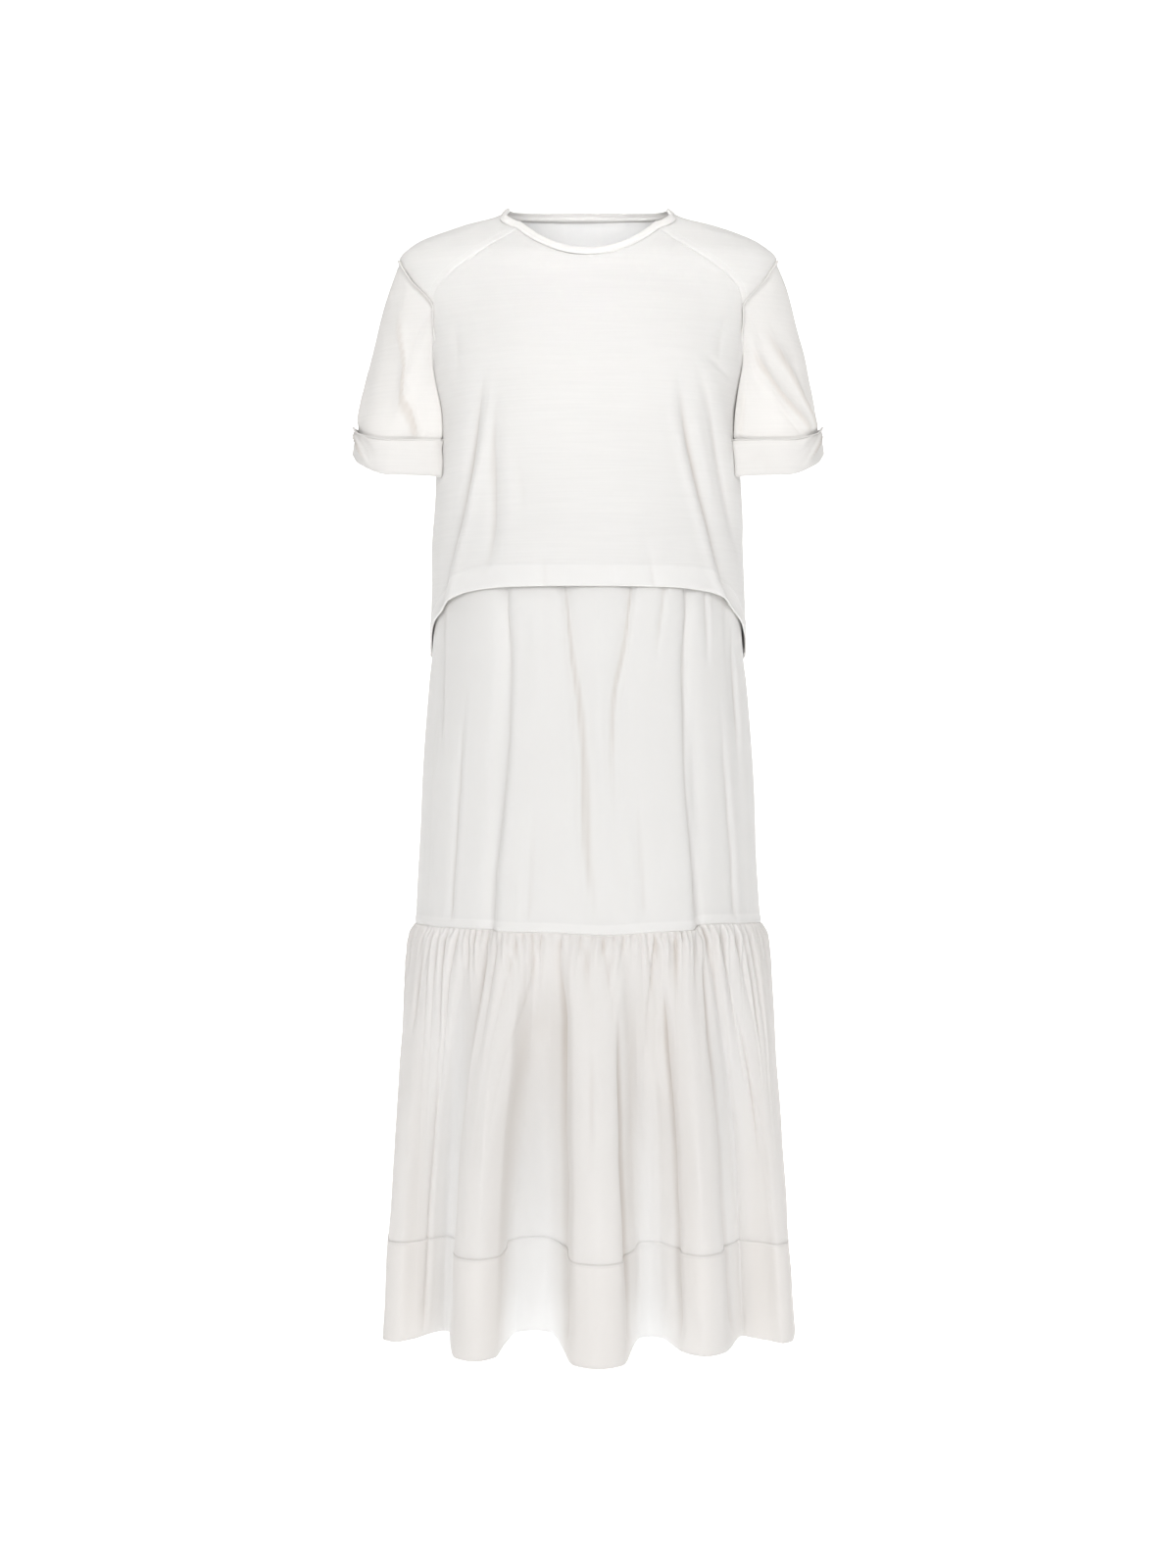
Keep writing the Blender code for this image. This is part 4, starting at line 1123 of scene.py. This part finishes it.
CUFF_CUT = (0.37, 0.060)     # flat, round the arm and over the fold
CUFF_TACK = [(28.0, 0.10), (34.0, 0.10)]
for hand, word in HANDS:
    place = cuff_place(hand)
    cuff = Surface(place, cuff_lift(hand, place), (0.5, 0.01), -hand, 9.0)
    columns = spread(0.0, 360.0, 130)
    rows = (spread(0.0, FOLD_START, 16, CUFF_SPACE - 0.0006, 0)
            + spread(FOLD_START, FOLD_END, 10)[1:] + spread(FOLD_END, 2.0, 8)[1:])
    piece = cloth(word + "_cuff", cuff, columns, rows, JERSEY_WALL, cuff_jersey, CUFF_CUT,
                  ring=True)
    tack = stitches(word + "_cuff_tack", cuff, CUFF_TACK, thread, JERSEY_WALL / 2)
    sewn("cuff_" + word)

# %% [markdown]
# ## Neck binding
# The neckline is bound with a narrow strip of the same jersey, folded over the raw edge and
# stitched close to its lower side.
# %% Neck binding
BINDING_WIDTH = 0.0065
BINDING_SEAM = 0.0016
BINDING_SPREAD = 1.06        # a ring this much wider and BINDING_FALL lower aims the strip
BINDING_FALL = 0.0042
BINDING_STEEPENS = 0.058
BINDING_GAP = 0.0016         # between the strip's two layers
BINDING_WALL = 0.0006
BINDING_CUT = (0.54, 0.0165)
BINDING_INSIDE = (
    # up the strip, how far behind its face: the inside leg, from the fold down
    (0.05, 0.0026), (-0.20, 0.0030), (-0.38, 0.0020), (-0.55, 0.0014), (-0.62, 0.0011),
    (-0.64, 0.0008))


def neck_edge(around):
    """The neckline at 0 to 4: front middle 0, right ridge 1, back middle 2, left ridge 3."""
    around = around % 4
    hand = np.where(around <= 2, 1.0, -1.0)
    along = np.where(around <= 2, around, 4 - around)
    front = along <= 1
    reach = np.where(front, along, 2 - along)
    share = hand * NECK_SHARE * np.clip(reach / NECK_PANEL_PART, 0.0, 1.0)
    ones = np.ones_like(share)
    on_panel = np.where(front[..., None], panel_place(1)(share, ones), panel_place(-1)(share, ones))
    over = 1 - np.clip((reach - NECK_PANEL_PART) / (1 - NECK_PANEL_PART), 0.0, 1.0)
    on_saddle = saddle_place(1)(np.zeros_like(share), np.where(front, over, -over))
    on_saddle[..., 0] *= hand
    return np.where((reach <= NECK_PANEL_PART)[..., None], on_panel, on_saddle)


def binding_place(around, up):
    edge = neck_edge(around)
    below = edge * np.array([BINDING_SPREAD, BINDING_SPREAD, 1.0])
    below[..., 2] -= BINDING_FALL + BINDING_STEEPENS * np.abs(edge[..., 1])
    return edge + unit(edge - below) * (BINDING_SEAM + BINDING_WIDTH * up)[..., None]


def binding_lift(around, up):
    round_face = 0.0004 * np.sin(math.pi * np.clip(up, 0.0, 1.0))
    pull = 0.00015 * np.sin(around * 2 * math.pi * 34) * bell(up - 0.15, 0.2)
    return 0.0010 + round_face + pull - 0.0004 * bell(up - 0.10, 0.07)


binding_face = Surface(binding_place, binding_lift, (0.004, 0.02), 1)
rows = (spread(-0.30, 1.0, 12, 0.0006, 0, 1) + [(1.08, BINDING_GAP / 2)]
        + [(1.0 - i / 4, BINDING_GAP) for i in range(4)] + list(BINDING_INSIDE))
neck_piece = cloth("bound_neck", binding_face, spread(0.0, 4.0, 420), rows, BINDING_WALL,
                   bound_jersey, BINDING_CUT, ring=True)
neck_row = stitches("neck_row", binding_face, [(around, 0.02) for around in np.linspace(0, 4, 160)],
                    thread, BINDING_WALL / 2)
sewn("neck_binding")

# %% [markdown]
# ## Stay at the waist
# Out of sight inside the top, a band of poplin joins the gathered skirt to it.
# %% Stay at the waist
WAIST_TOP_Z = -0.352
WAIST_Z = -0.3725
STAY_INSET = 0.00165         # from the top's form to the stay's
STAY_WALL = 0.0011
STAY_CUT = (0.98, 0.020)


def top_troughs(points):
    """How far the creases of the top press in at points under it."""
    front = creases(points[..., 0], -points[..., 2], FRONT_CREASES)
    back = creases(points[..., 0], -points[..., 2], BACK_CREASES)
    return np.minimum(np.where(points[..., 1] < 0, front, back), 0.0)


def stay_lift(round_deg, z):
    return top_troughs(top_point(round_deg, z)) - STAY_INSET


stay = Surface(top_point, stay_lift, (0.5, 0.001), 1)
stay_piece = cloth("waist_stay", stay, spread(0.0, 360.0, 240),
                   spread(WAIST_Z + SEAM, WAIST_TOP_Z, 5), STAY_WALL, poplin, STAY_CUT, ring=True)
sewn("waist_casing")

# %% [markdown]
# ## Upper tier of the skirt
# Two pieces of poplin with side seams. The gathers at the hidden waist run down into a few
# long creases; the middle of the front stands ahead of the two deepest. These are its sections
# and main creases, and how the seam at its lower edge rises and sags.
# %% Sizes of the upper tier
SEAM_SAG = Table("round rise", [
    # how far the tier seam rises or sags from level, by degrees round
    (-90.0, 0.0000),
    (-34.0, 0.0006),
    (-27.0, -0.0004),
    (-8.0, -0.0012),
    (3.0, -0.0038),
    (16.0, -0.0010),
    (32.0, 0.0004),
    (37.5, 0.0052),
    (60.0, 0.0036),
    (90.0, 0.0004),
    (150.0, -0.0016),
    (200.0, 0.0010),
    (240.0, -0.0010)], turn=360.0)
POPLIN_WALL = 0.0006
TIER_Z = -0.7845             # the seam between the tier and the flounce
CENTRE_FORWARD = 0.011       # how far the middle of the front stands ahead at the seam
CENTRE_EDGES = (-28.6, 34.4)
CENTRE_EDGE_SOFTNESS = 3.0
ALLOWANCE = 0.010            # the seam's allowance, inside above the seam
MIDDLE = {1: 0.0, -1: 180.0}                 # degrees round at the middle of each side

SKIRT = Table("z half front back", [
    (WAIST_Z, 0.1682, 0.1386, 0.0968),
    (-0.400, 0.1672, 0.1310, 0.0930),
    (-0.440, 0.1680, 0.1265, 0.0910),
    (-0.490, 0.1702, 0.1270, 0.0920),
    (-0.520, 0.1735, 0.1290, 0.0950),
    (-0.590, 0.1790, 0.1340, 0.1010),
    (-0.690, 0.1845, 0.1420, 0.1090),
    (-0.800, 0.1885, 0.1500, 0.1180)])
MAIN_CREASES = (
    # at waist, at seam, depth at waist, depth at seam, width in degrees
    (-25.8, -28.6, 0.0050, 0.0070, 3.4),
    (-6.6, 1.8, 0.0050, 0.0015, 3.2),
    (13.0, 4.5, 0.0050, 0.0000, 3.2),
    (33.8, 34.4, 0.0050, 0.0070, 3.4),
    (59.0, 62.0, 0.0030, 0.0020, 4.0),
    (-67.0, -66.0, 0.0030, 0.0020, 4.0),
    (114.0, 118.0, 0.0035, 0.0040, 4.0),
    (141.0, 146.0, 0.0050, 0.0060, 3.4),
    (166.0, 162.0, 0.0045, 0.0020, 3.2),
    (-172.0, -175.0, 0.0050, 0.0050, 3.4),
    (-149.0, -145.0, 0.0045, 0.0060, 3.4),
    (-121.0, -116.0, 0.0035, 0.0030, 4.0))
print("the upper tier is", round(WAIST_Z - TIER_Z, 3), "m long")


# %% [markdown]
# The tier's form: its sections, pressed in along the main creases and brought ahead in the middle.
# %% Form of the upper tier
def skirt_point(round_deg, z):
    round_deg = signed(round_deg)
    half, front, back = SKIRT.read(z)
    x, y = section(half, front, back, round_deg)
    down = (WAIST_Z - z) / (WAIST_Z - TIER_Z)
    push = np.zeros_like(x)
    for waist_at, seam_at, waist_depth, seam_depth, width in MAIN_CREASES:
        off = signed(round_deg - waist_at - (seam_at - waist_at) * down)
        depth = (waist_depth + (seam_depth - waist_depth) * down) * np.minimum(1.0, down * 6)
        push = push - depth * bell(off, width)
    left, right = CENTRE_EDGES
    inside = 1 / (1 + np.exp(-(round_deg - left) / CENTRE_EDGE_SOFTNESS * 2))
    inside = inside - 1 / (1 + np.exp(-(round_deg - right) / CENTRE_EDGE_SOFTNESS * 2))
    push = push + CENTRE_FORWARD * inside * np.clip(down, 0.0, None) ** 1.5
    size = np.hypot(x, y)
    return np.stack([x * (1 + push / size), y * (1 + push / size), z + np.zeros_like(x)], axis=-1)


def skirt_place(side):
    def place(round_deg, z):
        point = skirt_point(round_deg, z)
        point[..., 1] -= side * SEAM / 2
        point[..., 2] += SEAM_SAG.read(round_deg) * (1 - fade(z, TIER_Z, TIER_Z + 0.12))
        return point
    return place


print("the tier's front middle ends at", np.round(skirt_point(np.array([0.0]), TIER_Z)[0], 3))

# %% [markdown]
# The finer creases lie on that form, where they hang on the real skirt.
# %% Creases of the upper tier
SKIRT_CREASES = {
    # line of (down, degrees round) points, depth, width, lean, fade in, fade out
    1: (
        ([(0.4, -27.5), (0.504, -25), (0.586, -24.5), (0.668, -26), (0.75, -29), (0.8, -28.5)],
         -0.0028, 2.6, 0.3, 0.15, 0.1),
        ([(0.4, -7.5), (0.49, -4.5), (0.558, -2), (0.614, -1), (0.694, -0.5), (0.8, 2)],
         -0.0052, 1.7, -0.3, 0.15, 0.3),
        ([(0.4, 14.5), (0.49, 10.5), (0.546, 7), (0.614, 6), (0.72, 6.2)],
         -0.0052, 1.7, 0.4, 0.15, 0.6),
        ([(0.4, 36), (0.558, 32.5), (0.626, 31), (0.71, 33), (0.8, 35.5)],
         -0.0036, 2, 0.4, 0.15, 0.1),
        ([(0.41, 25), (0.53, 19.5)], -0.0034, 1.5, 0.3, 0.2, 0.6),
        ([(0.42, 43.5), (0.52, 45)], -0.0034, 1.6, 0.3, 0.2, 0.6),
        ([(0.44, 65), (0.64, 62.5)], -0.0038, 1.9, 0.3, 0.4, 0.5),
        ([(0.44, -67), (0.62, -57)], -0.0038, 1.9, 0.3, 0.4, 0.5),
        ([(0.42, -16), (0.6, -14)], 0.002, 2.6, 0, 0.4, 0.6),
        ([(0.42, 3), (0.56, 2.6)], 0.0022, 2.4, 0, 0.3, 0.6),
        ([(0.6, 12), (0.79, 14)], -0.0026, 2.2, -0.3, 0.6, 0.2),
        ([(0.62, -14), (0.79, -15)], -0.0026, 2.4, -0.3, 0.6, 0.2),
        ([(0.52, 50), (0.79, 54)], -0.0034, 2, 0.3, 0.5, 0.1),
        ([(0.5, -44), (0.79, -48)], -0.0034, 2, 0.3, 0.5, 0.1)),
    -1: (
        ([(0.45, 141), (0.6, 143), (0.8, 146)], -0.0036, 2, 0.3, 0.2, 0.1),
        ([(0.45, 165), (0.6, 163.5), (0.8, 162)], -0.003, 2, -0.3, 0.2, 0.3),
        ([(0.45, 187), (0.6, 186), (0.8, 185)], -0.0036, 1.9, 0.3, 0.2, 0.1),
        ([(0.45, 211), (0.6, 213), (0.8, 215)], -0.0036, 2, -0.3, 0.2, 0.1),
        ([(0.45, 128), (0.64, 131)], -0.0022, 1.8, 0, 0.3, 0.6),
        ([(0.45, 153), (0.66, 153)], -0.0022, 1.8, 0, 0.3, 0.6),
        ([(0.45, 198), (0.64, 200)], -0.0022, 1.8, 0, 0.3, 0.6),
        ([(0.45, 226), (0.7, 229)], -0.0022, 2, 0, 0.3, 0.4),
        ([(0.55, 115), (0.8, 118)], -0.0024, 2.2, 0, 0.4, 0.1),
        ([(0.55, 245), (0.8, 244)], -0.0024, 2.2, 0, 0.4, 0.1))}
print(len(SKIRT_CREASES[1]), "creases in front and", len(SKIRT_CREASES[-1]), "behind")


# %% [markdown]
# ### Gathers
# Spare cloth drawn up along a seam stands in small waves beside it. No two are alike, so each
# gets a height and a length of its own, by chance but the same on every run.
# %% Gathers
def wander(round_deg, seed, size):
    """An uneven shift along the seam, the same on every run and closed round the body."""
    chance = np.random.default_rng(seed)
    turn = np.radians(round_deg)
    total = np.zeros_like(turn)
    for waves in (3, 5, 8, 13, 21):
        total += np.sin(waves * turn + chance.uniform(0, 6.28)) / waves ** 0.5
    return total * size


def gathers(round_deg, drop, count, height, start, reach, seed):
    """count gathers round the body, that begin by start from the seam and run down by reach."""
    chance = np.random.default_rng(seed)
    heights = chance.uniform(0.35, 1.35, count) * height
    reaches = chance.uniform(0.45, 1.9, count) * reach
    phase = round_deg / 360 * count + wander(round_deg, seed, 0.45)
    phase = phase + wander(round_deg, seed + 1, 0.5) * drop / reach
    number = np.floor(phase).astype(int) % count
    wave = (0.5 - 0.5 * np.cos(2 * math.pi * phase)) ** 0.8
    there = fade(drop, -1e-6, start + 1e-6) * np.exp(-(drop / reaches[number]) ** 1.3)
    return (wave - 0.48) * heights[number] * there


print("gathers and the wander of their places are ready")

# %% [markdown]
# Under the top's hem the tier springs forward a little, over the stay it hangs from. Along the
# bottom the seam's allowance lies upwards inside and lifts the cloth a little, and a slightly
# lighter band is painted there: painted light for the double cloth, which shows less shade through.
# %% Upper tier
TIER_GATHERS = (152, 0.0012, 0.001, 0.010, 50)      # count, height, start, reach, seed
SPRING = 0.0095
SPRING_Z, SPRING_WIDTH = -0.445, 0.045
TIER_CUTS = {1: (0.60, 0.42), -1: (0.55, 0.42)}     # flat width and length


def skirt_lift(side, place):
    def lift(round_deg, z):
        points = place(round_deg, z)
        above_seam = z - TIER_Z
        total = creases(round_deg, -z, SKIRT_CREASES[side])
        total = total + ripples(points, 0.09, 0.0006, 40 + side)
        total = total + seam_groove(above_seam)
        total = total + seam_groove((90 - np.abs(round_deg - MIDDLE[side])) * 0.0028)
        total = total + top_troughs(points) * fade(z, -0.42, WAIST_Z)
        total = total + gathers(round_deg, above_seam, *TIER_GATHERS)
        spring = SPRING * fade(np.cos(np.radians(round_deg)), 0.5, 0.95)
        total = total + spring * bell(z - SPRING_Z, SPRING_WIDTH)
        return total + 0.0005 * (1 - fade(above_seam, ALLOWANCE - 0.002, ALLOWANCE + 0.001))
    return lift


for side, word in SIDES:
    place = skirt_place(side)
    tier = Surface(place, skirt_lift(side, place), (0.2, 0.001), 1, 2.8)
    middle = MIDDLE[side]
    columns = spread(middle - 90, middle + 90, 170, TURNED_IN, TURNED_IN)
    rows = spread(TIER_Z, WAIST_Z, 116, TURNED_IN, 0)
    piece = cloth("upper_tier_" + word, tier, columns, rows, POPLIN_WALL, poplin, TIER_CUTS[side])
    line = [(turn, TIER_Z + STITCH_IN) for turn in np.linspace(middle - 89, middle + 89, 240)]
    seam_row = stitches("tier_row_" + word, tier, line, thread, POPLIN_WALL / 2)
    sewn("skirt_" + word)

# %% [markdown]
# ## Gathered flounce and its deep band
# The flounce is much wider than the tier it is sewn to. The spare cloth is drawn up into fine
# uneven gathers, which run out into a few broad folds that stand in and out at the hem. The band
# at the bottom is poplin folded double.
# %% Flounce form
HEM_DROP = 0.4465            # from the tier seam down to the hem
BAND_TOP_DROP = 0.340
FLOUNCE_SEAM = 0.0009        # clear space between the front and the back, at the sides
SEAM_SHAPE_FADE = 0.050      # how far down the flounce keeps the shape of the tier's seam

FLOUNCE = Table("drop half front back", [
    (0.000, 0.1880, 0.1490, 0.1170),
    (0.017, 0.1938, 0.1560, 0.1240),
    (0.050, 0.1985, 0.1600, 0.1300),
    (0.200, 0.2075, 0.1500, 0.1300),
    (0.460, 0.2230, 0.1250, 0.1200)])
HEM_FOLDS = (
    # round from, round to, x from, x to, y at its ends, y in its middle, rise
    (-70.0, -54.0, -0.2205, -0.1900, -0.052, -0.063, 0.000),
    (-41.0, -36.0, -0.1640, -0.1520, -0.034, -0.030, 0.003),
    (-29.0, -17.0, -0.1390, -0.0980, -0.126, -0.140, 0.000),
    (-11.5, -7.5, -0.0770, -0.0410, -0.040, -0.033, 0.004),
    (-3.0, 5.5, -0.0150, 0.0360, -0.144, -0.157, -0.003),
    (11.5, 17.5, 0.0560, 0.0790, -0.056, -0.050, 0.002),
    (23.0, 31.5, 0.1030, 0.1430, -0.108, -0.121, 0.000),
    (38.0, 42.0, 0.1650, 0.1720, -0.043, -0.040, 0.000),
    (54.0, 70.0, 0.1960, 0.2200, -0.060, -0.070, 0.000),
    (89.0, 91.0, 0.2262, 0.2262, 0.000, 0.000, 0.000),
    (112.0, 126.0, 0.2280, 0.2000, 0.076, 0.086, 0.000),
    (134.0, 138.5, 0.1700, 0.1600, 0.053, 0.049, 0.002),
    (146.0, 156.0, 0.1300, 0.0860, 0.114, 0.127, 0.000),
    (163.0, 169.0, 0.0580, 0.0340, 0.052, 0.046, 0.003),
    (176.0, 186.0, 0.0120, -0.0380, 0.124, 0.136, -0.002),
    (192.0, 198.0, -0.0570, -0.0790, 0.051, 0.045, 0.003),
    (205.0, 215.0, -0.1020, -0.1430, 0.110, 0.123, 0.000),
    (225.0, 231.0, -0.1640, -0.1750, 0.051, 0.047, 0.000),
    (240.0, 254.0, -0.1980, -0.2170, 0.070, 0.080, 0.000),
    (268.0, 270.0, -0.2240, -0.2240, 0.000, 0.000, 0.000))
FOLD_GROWTH = Table("drop share", [
    (0.000, 0.00),
    (0.050, 0.12),
    (0.130, 0.48),
    (0.260, 0.84),
    (0.4465, 1.00)])


def hem_plan():
    rows = []
    for start, end, x_start, x_end, y_ends, y_middle, rise in HEM_FOLDS:
        rows.append((start, x_start, y_ends, rise))
        rows.append(((start + end) / 2, (x_start + x_end) / 2, y_middle, rise))
        rows.append((end, x_end, y_ends, rise))
    return Table("round x y rise", rows, turn=360.0)


HEM_PLAN = hem_plan()


def flounce_ring(round_deg, drop):
    half, front, back = FLOUNCE.read(drop)
    return section(half, front, back, round_deg)


def flounce_place(side):
    def place(round_deg, drop):
        round_deg = signed(round_deg)
        x, y = flounce_ring(round_deg, drop)
        share = FOLD_GROWTH.read(drop)
        plan_round = np.where(round_deg > -90, round_deg, round_deg + 360)
        hem_x, hem_y, rise = HEM_PLAN.read(plan_round)
        flat_x, flat_y = flounce_ring(round_deg, np.full_like(drop, HEM_DROP))
        x = x + (hem_x - flat_x) * share
        y = y + (hem_y - flat_y) * share
        seam = skirt_point(round_deg, np.full_like(drop, TIER_Z))
        ring_x, ring_y = flounce_ring(round_deg, np.zeros_like(drop))
        kept = np.exp(-drop / SEAM_SHAPE_FADE)
        x = x + (seam[..., 0] - ring_x) * kept
        y = y + (seam[..., 1] - ring_y) * kept
        z = TIER_Z - drop + rise * share * drop / HEM_DROP
        z = z + SEAM_SAG.read(plan_round) * bell(drop, 0.12)
        return np.stack([x, y - side * FLOUNCE_SEAM / 2, z], axis=-1)
    return place


print("the hem runs over", len(HEM_FOLDS), "crests and hollows")

# %% [markdown]
# ### Folds of the flounce
# The long folds under the gathers are placed one by one, where they hang on the real skirt.
# %% Folds of the flounce
FLOUNCE_CREASES = {
    # line of (drop, degrees round) points, depth, width, lean, fade in, fade out
    1: (
        ([(0.01, -29), (0.062, -30), (0.11, -31), (0.161, -32), (0.22, -33), (0.303, -32.5),
          (0.354, -33), (0.45, -34.5)], -0.0074, 1.4, 0.3, 0.1, 0.1),
        ([(0.26, -11), (0.333, -13), (0.381, -13.5), (0.45, -14.5)], -0.006, 1.2, 0, 0.4, 0.1),
        ([(0.02, -6), (0.15, -6), (0.309, -5.6), (0.45, -5.2)], -0.007, 1.2, -0.3, 0.2, 0.1),
        ([(0.09, 0.5), (0.26, 0)], -0.0026, 1.2, 0, 0.4, 0.5),
        ([(0.06, 6.6), (0.199, 6.8), (0.33, 7.6), (0.45, 8.8)], -0.007, 1.2, 0.3, 0.3, 0.1),
        ([(0.03, 19.5), (0.113, 19.3), (0.19, 20.5), (0.351, 21), (0.45, 21.5)],
         -0.0066, 1.2, -0.2, 0.2, 0.1),
        ([(0.01, 34.5), (0.095, 33.7), (0.161, 34.2), (0.345, 34.8), (0.45, 35.4)],
         -0.0074, 1.4, 0.3, 0.1, 0.1),
        ([(0.02, 57), (0.14, 59)], -0.0053, 1.4, 0, 0.3, 0.5),
        ([(0.08, 46), (0.181, 51), (0.26, 52)], -0.0036, 1.4, 0, 0.3, 0.4),
        ([(0.01, -62), (0.13, -64)], -0.0053, 1.4, 0, 0.3, 0.5),
        ([(0.1, -45), (0.3, -47), (0.45, -48)], -0.0034, 1.5, 0.2, 0.3, 0.1),
        ([(0.12, -23), (0.33, -22.5)], 0.002, 1.6, 0, 0.4, 0.5),
        ([(0.16, 27), (0.36, 27.5)], 0.002, 1.6, 0, 0.4, 0.5)),
    -1: (
        ([(0.02, 118), (0.2, 128), (0.45, 130)], -0.0064, 1.5, 0.2, 0.2, 0.1),
        ([(0.02, 142), (0.2, 141.5), (0.45, 141)], -0.007, 1.3, -0.3, 0.2, 0.1),
        ([(0.05, 159), (0.22, 159.5), (0.45, 160)], -0.0064, 1.3, 0.3, 0.3, 0.1),
        ([(0.03, 173), (0.22, 172.6), (0.45, 172.2)], -0.007, 1.2, -0.3, 0.2, 0.1),
        ([(0.05, 189), (0.22, 189.2), (0.45, 189.5)], -0.0066, 1.2, 0.3, 0.3, 0.1),
        ([(0.03, 202), (0.22, 201.5), (0.45, 201)], -0.0066, 1.3, -0.3, 0.2, 0.1),
        ([(0.04, 219), (0.22, 219.5), (0.45, 220)], -0.007, 1.3, 0.3, 0.2, 0.1),
        ([(0.04, 236), (0.2, 235.5), (0.45, 235)], -0.006, 1.5, 0, 0.3, 0.1),
        ([(0.1, 180), (0.3, 181)], -0.0026, 1.4, 0, 0.4, 0.5),
        ([(0.1, 150), (0.32, 151)], 0.002, 1.6, 0, 0.4, 0.5),
        ([(0.1, 210), (0.32, 210)], 0.002, 1.6, 0, 0.4, 0.5))}
print(len(FLOUNCE_CREASES[1]), "folds in front and", len(FLOUNCE_CREASES[-1]), "behind")


# %% [markdown]
# The fine gathers start at the seam and fade within a hand's width, over a coarser set. The
# cloth's rows are close together there and further apart lower down.
# %% Flounce
FLOUNCE_GATHERS = (
    # count, height, start, reach, seed
    (152, 0.0054, 0.003, 0.024, 50),
    (61, 0.0080, 0.015, 0.060, 60))
FLOUNCE_CUTS = {1: (0.97, 0.345), -1: (0.90, 0.345)}
FLOUNCE_START = 0.0006                       # its upper edge, just under the tier's
FLOUNCE_END = BAND_TOP_DROP + 0.003          # its lower edge, caught between the band's two layers
FLOUNCE_ROWS = 68


def flounce_lift(side, place):
    def lift(round_deg, drop):
        first, second = FLOUNCE_GATHERS
        total = gathers(round_deg, drop, *first) + gathers(round_deg, drop, *second)
        total = total + creases(round_deg, drop, FLOUNCE_CREASES[side])
        wave = ripples(place(round_deg, drop), 0.07, 0.0007, 70 + side)
        total = total + wave * fade(drop, 0.02, 0.08)
        side_seam = 90 - np.abs(signed(round_deg - MIDDLE[side]))
        return total * fade(side_seam, -0.5, 2.0) + seam_groove(side_seam * 0.0035)
    return lift


levels = [FLOUNCE_START + (FLOUNCE_END - 0.0008) * (i / FLOUNCE_ROWS) ** 1.25
          for i in range(FLOUNCE_ROWS + 1)]
rows = [(levels[0], TURNED_IN), (levels[0], TURNED_IN / 2)]
rows += [(level, 0.0) for level in (levels[0], levels[0] + 0.0003, *levels[1:-1],
                                    levels[-1] - 0.0005, levels[-1])]
flounces = {}
for side, word in SIDES:
    place = flounce_place(side)
    flounces[side] = Surface(place, flounce_lift(side, place), (0.1, 0.0005), -1, 2.0)
    columns = spread(MIDDLE[side] - 90, MIDDLE[side] + 90, 520, TURNED_IN, TURNED_IN)
    piece = cloth("flounce_cloth_" + word, flounces[side], columns, rows, POPLIN_WALL,
                  flounce_poplin, FLOUNCE_CUTS[side])
    sewn("flounce_" + word)

# %% [markdown]
# ### Hem band
# Poplin folded double: the outer layer runs down to the fold, and the inner one comes up again
# behind the flounce's lower edge. Its top edge is lapped over the flounce and stitched.
# %% Hem band
BAND_GAP = 0.0020            # between the band's two layers
BAND_PROUD = 0.0006          # how far its outer layer stands off the flounce's own form
BAND_START = BAND_TOP_DROP - 0.0012
BAND_FOLD = HEM_DROP - 0.0006
BAND_CUTS = {1: (0.97, 0.215), -1: (0.90, 0.215)}   # flat, before it is folded double


def band_lift(flounce_rule):
    def lift(round_deg, drop):
        return flounce_rule(round_deg, drop) + BAND_PROUD
    return lift


rows = spread(BAND_START, BAND_FOLD, 26) + [(HEM_DROP, BAND_GAP / 2)]
rows += [(BAND_FOLD - (HEM_DROP - BAND_START) * i / 14, BAND_GAP) for i in range(15)]
for side, word in SIDES:
    flounce = flounces[side]
    band = Surface(flounce.place, band_lift(flounce.lift), (0.1, 0.0005), -1, 2.0)
    middle = MIDDLE[side]
    columns = spread(middle - 90, middle + 90, 300, TURNED_IN, TURNED_IN)
    piece = cloth("hem_band_cloth_" + word, band, columns, rows, POPLIN_WALL, band_poplin,
                  BAND_CUTS[side])
    turns = np.linspace(middle - 89.5, middle + 89.5, 400)
    line = [(turn, BAND_START + STITCH_IN) for turn in turns]
    band_row = stitches("band_row_" + word, band, line, thread, POPLIN_WALL / 2)
    sewn("hem_band_" + word)
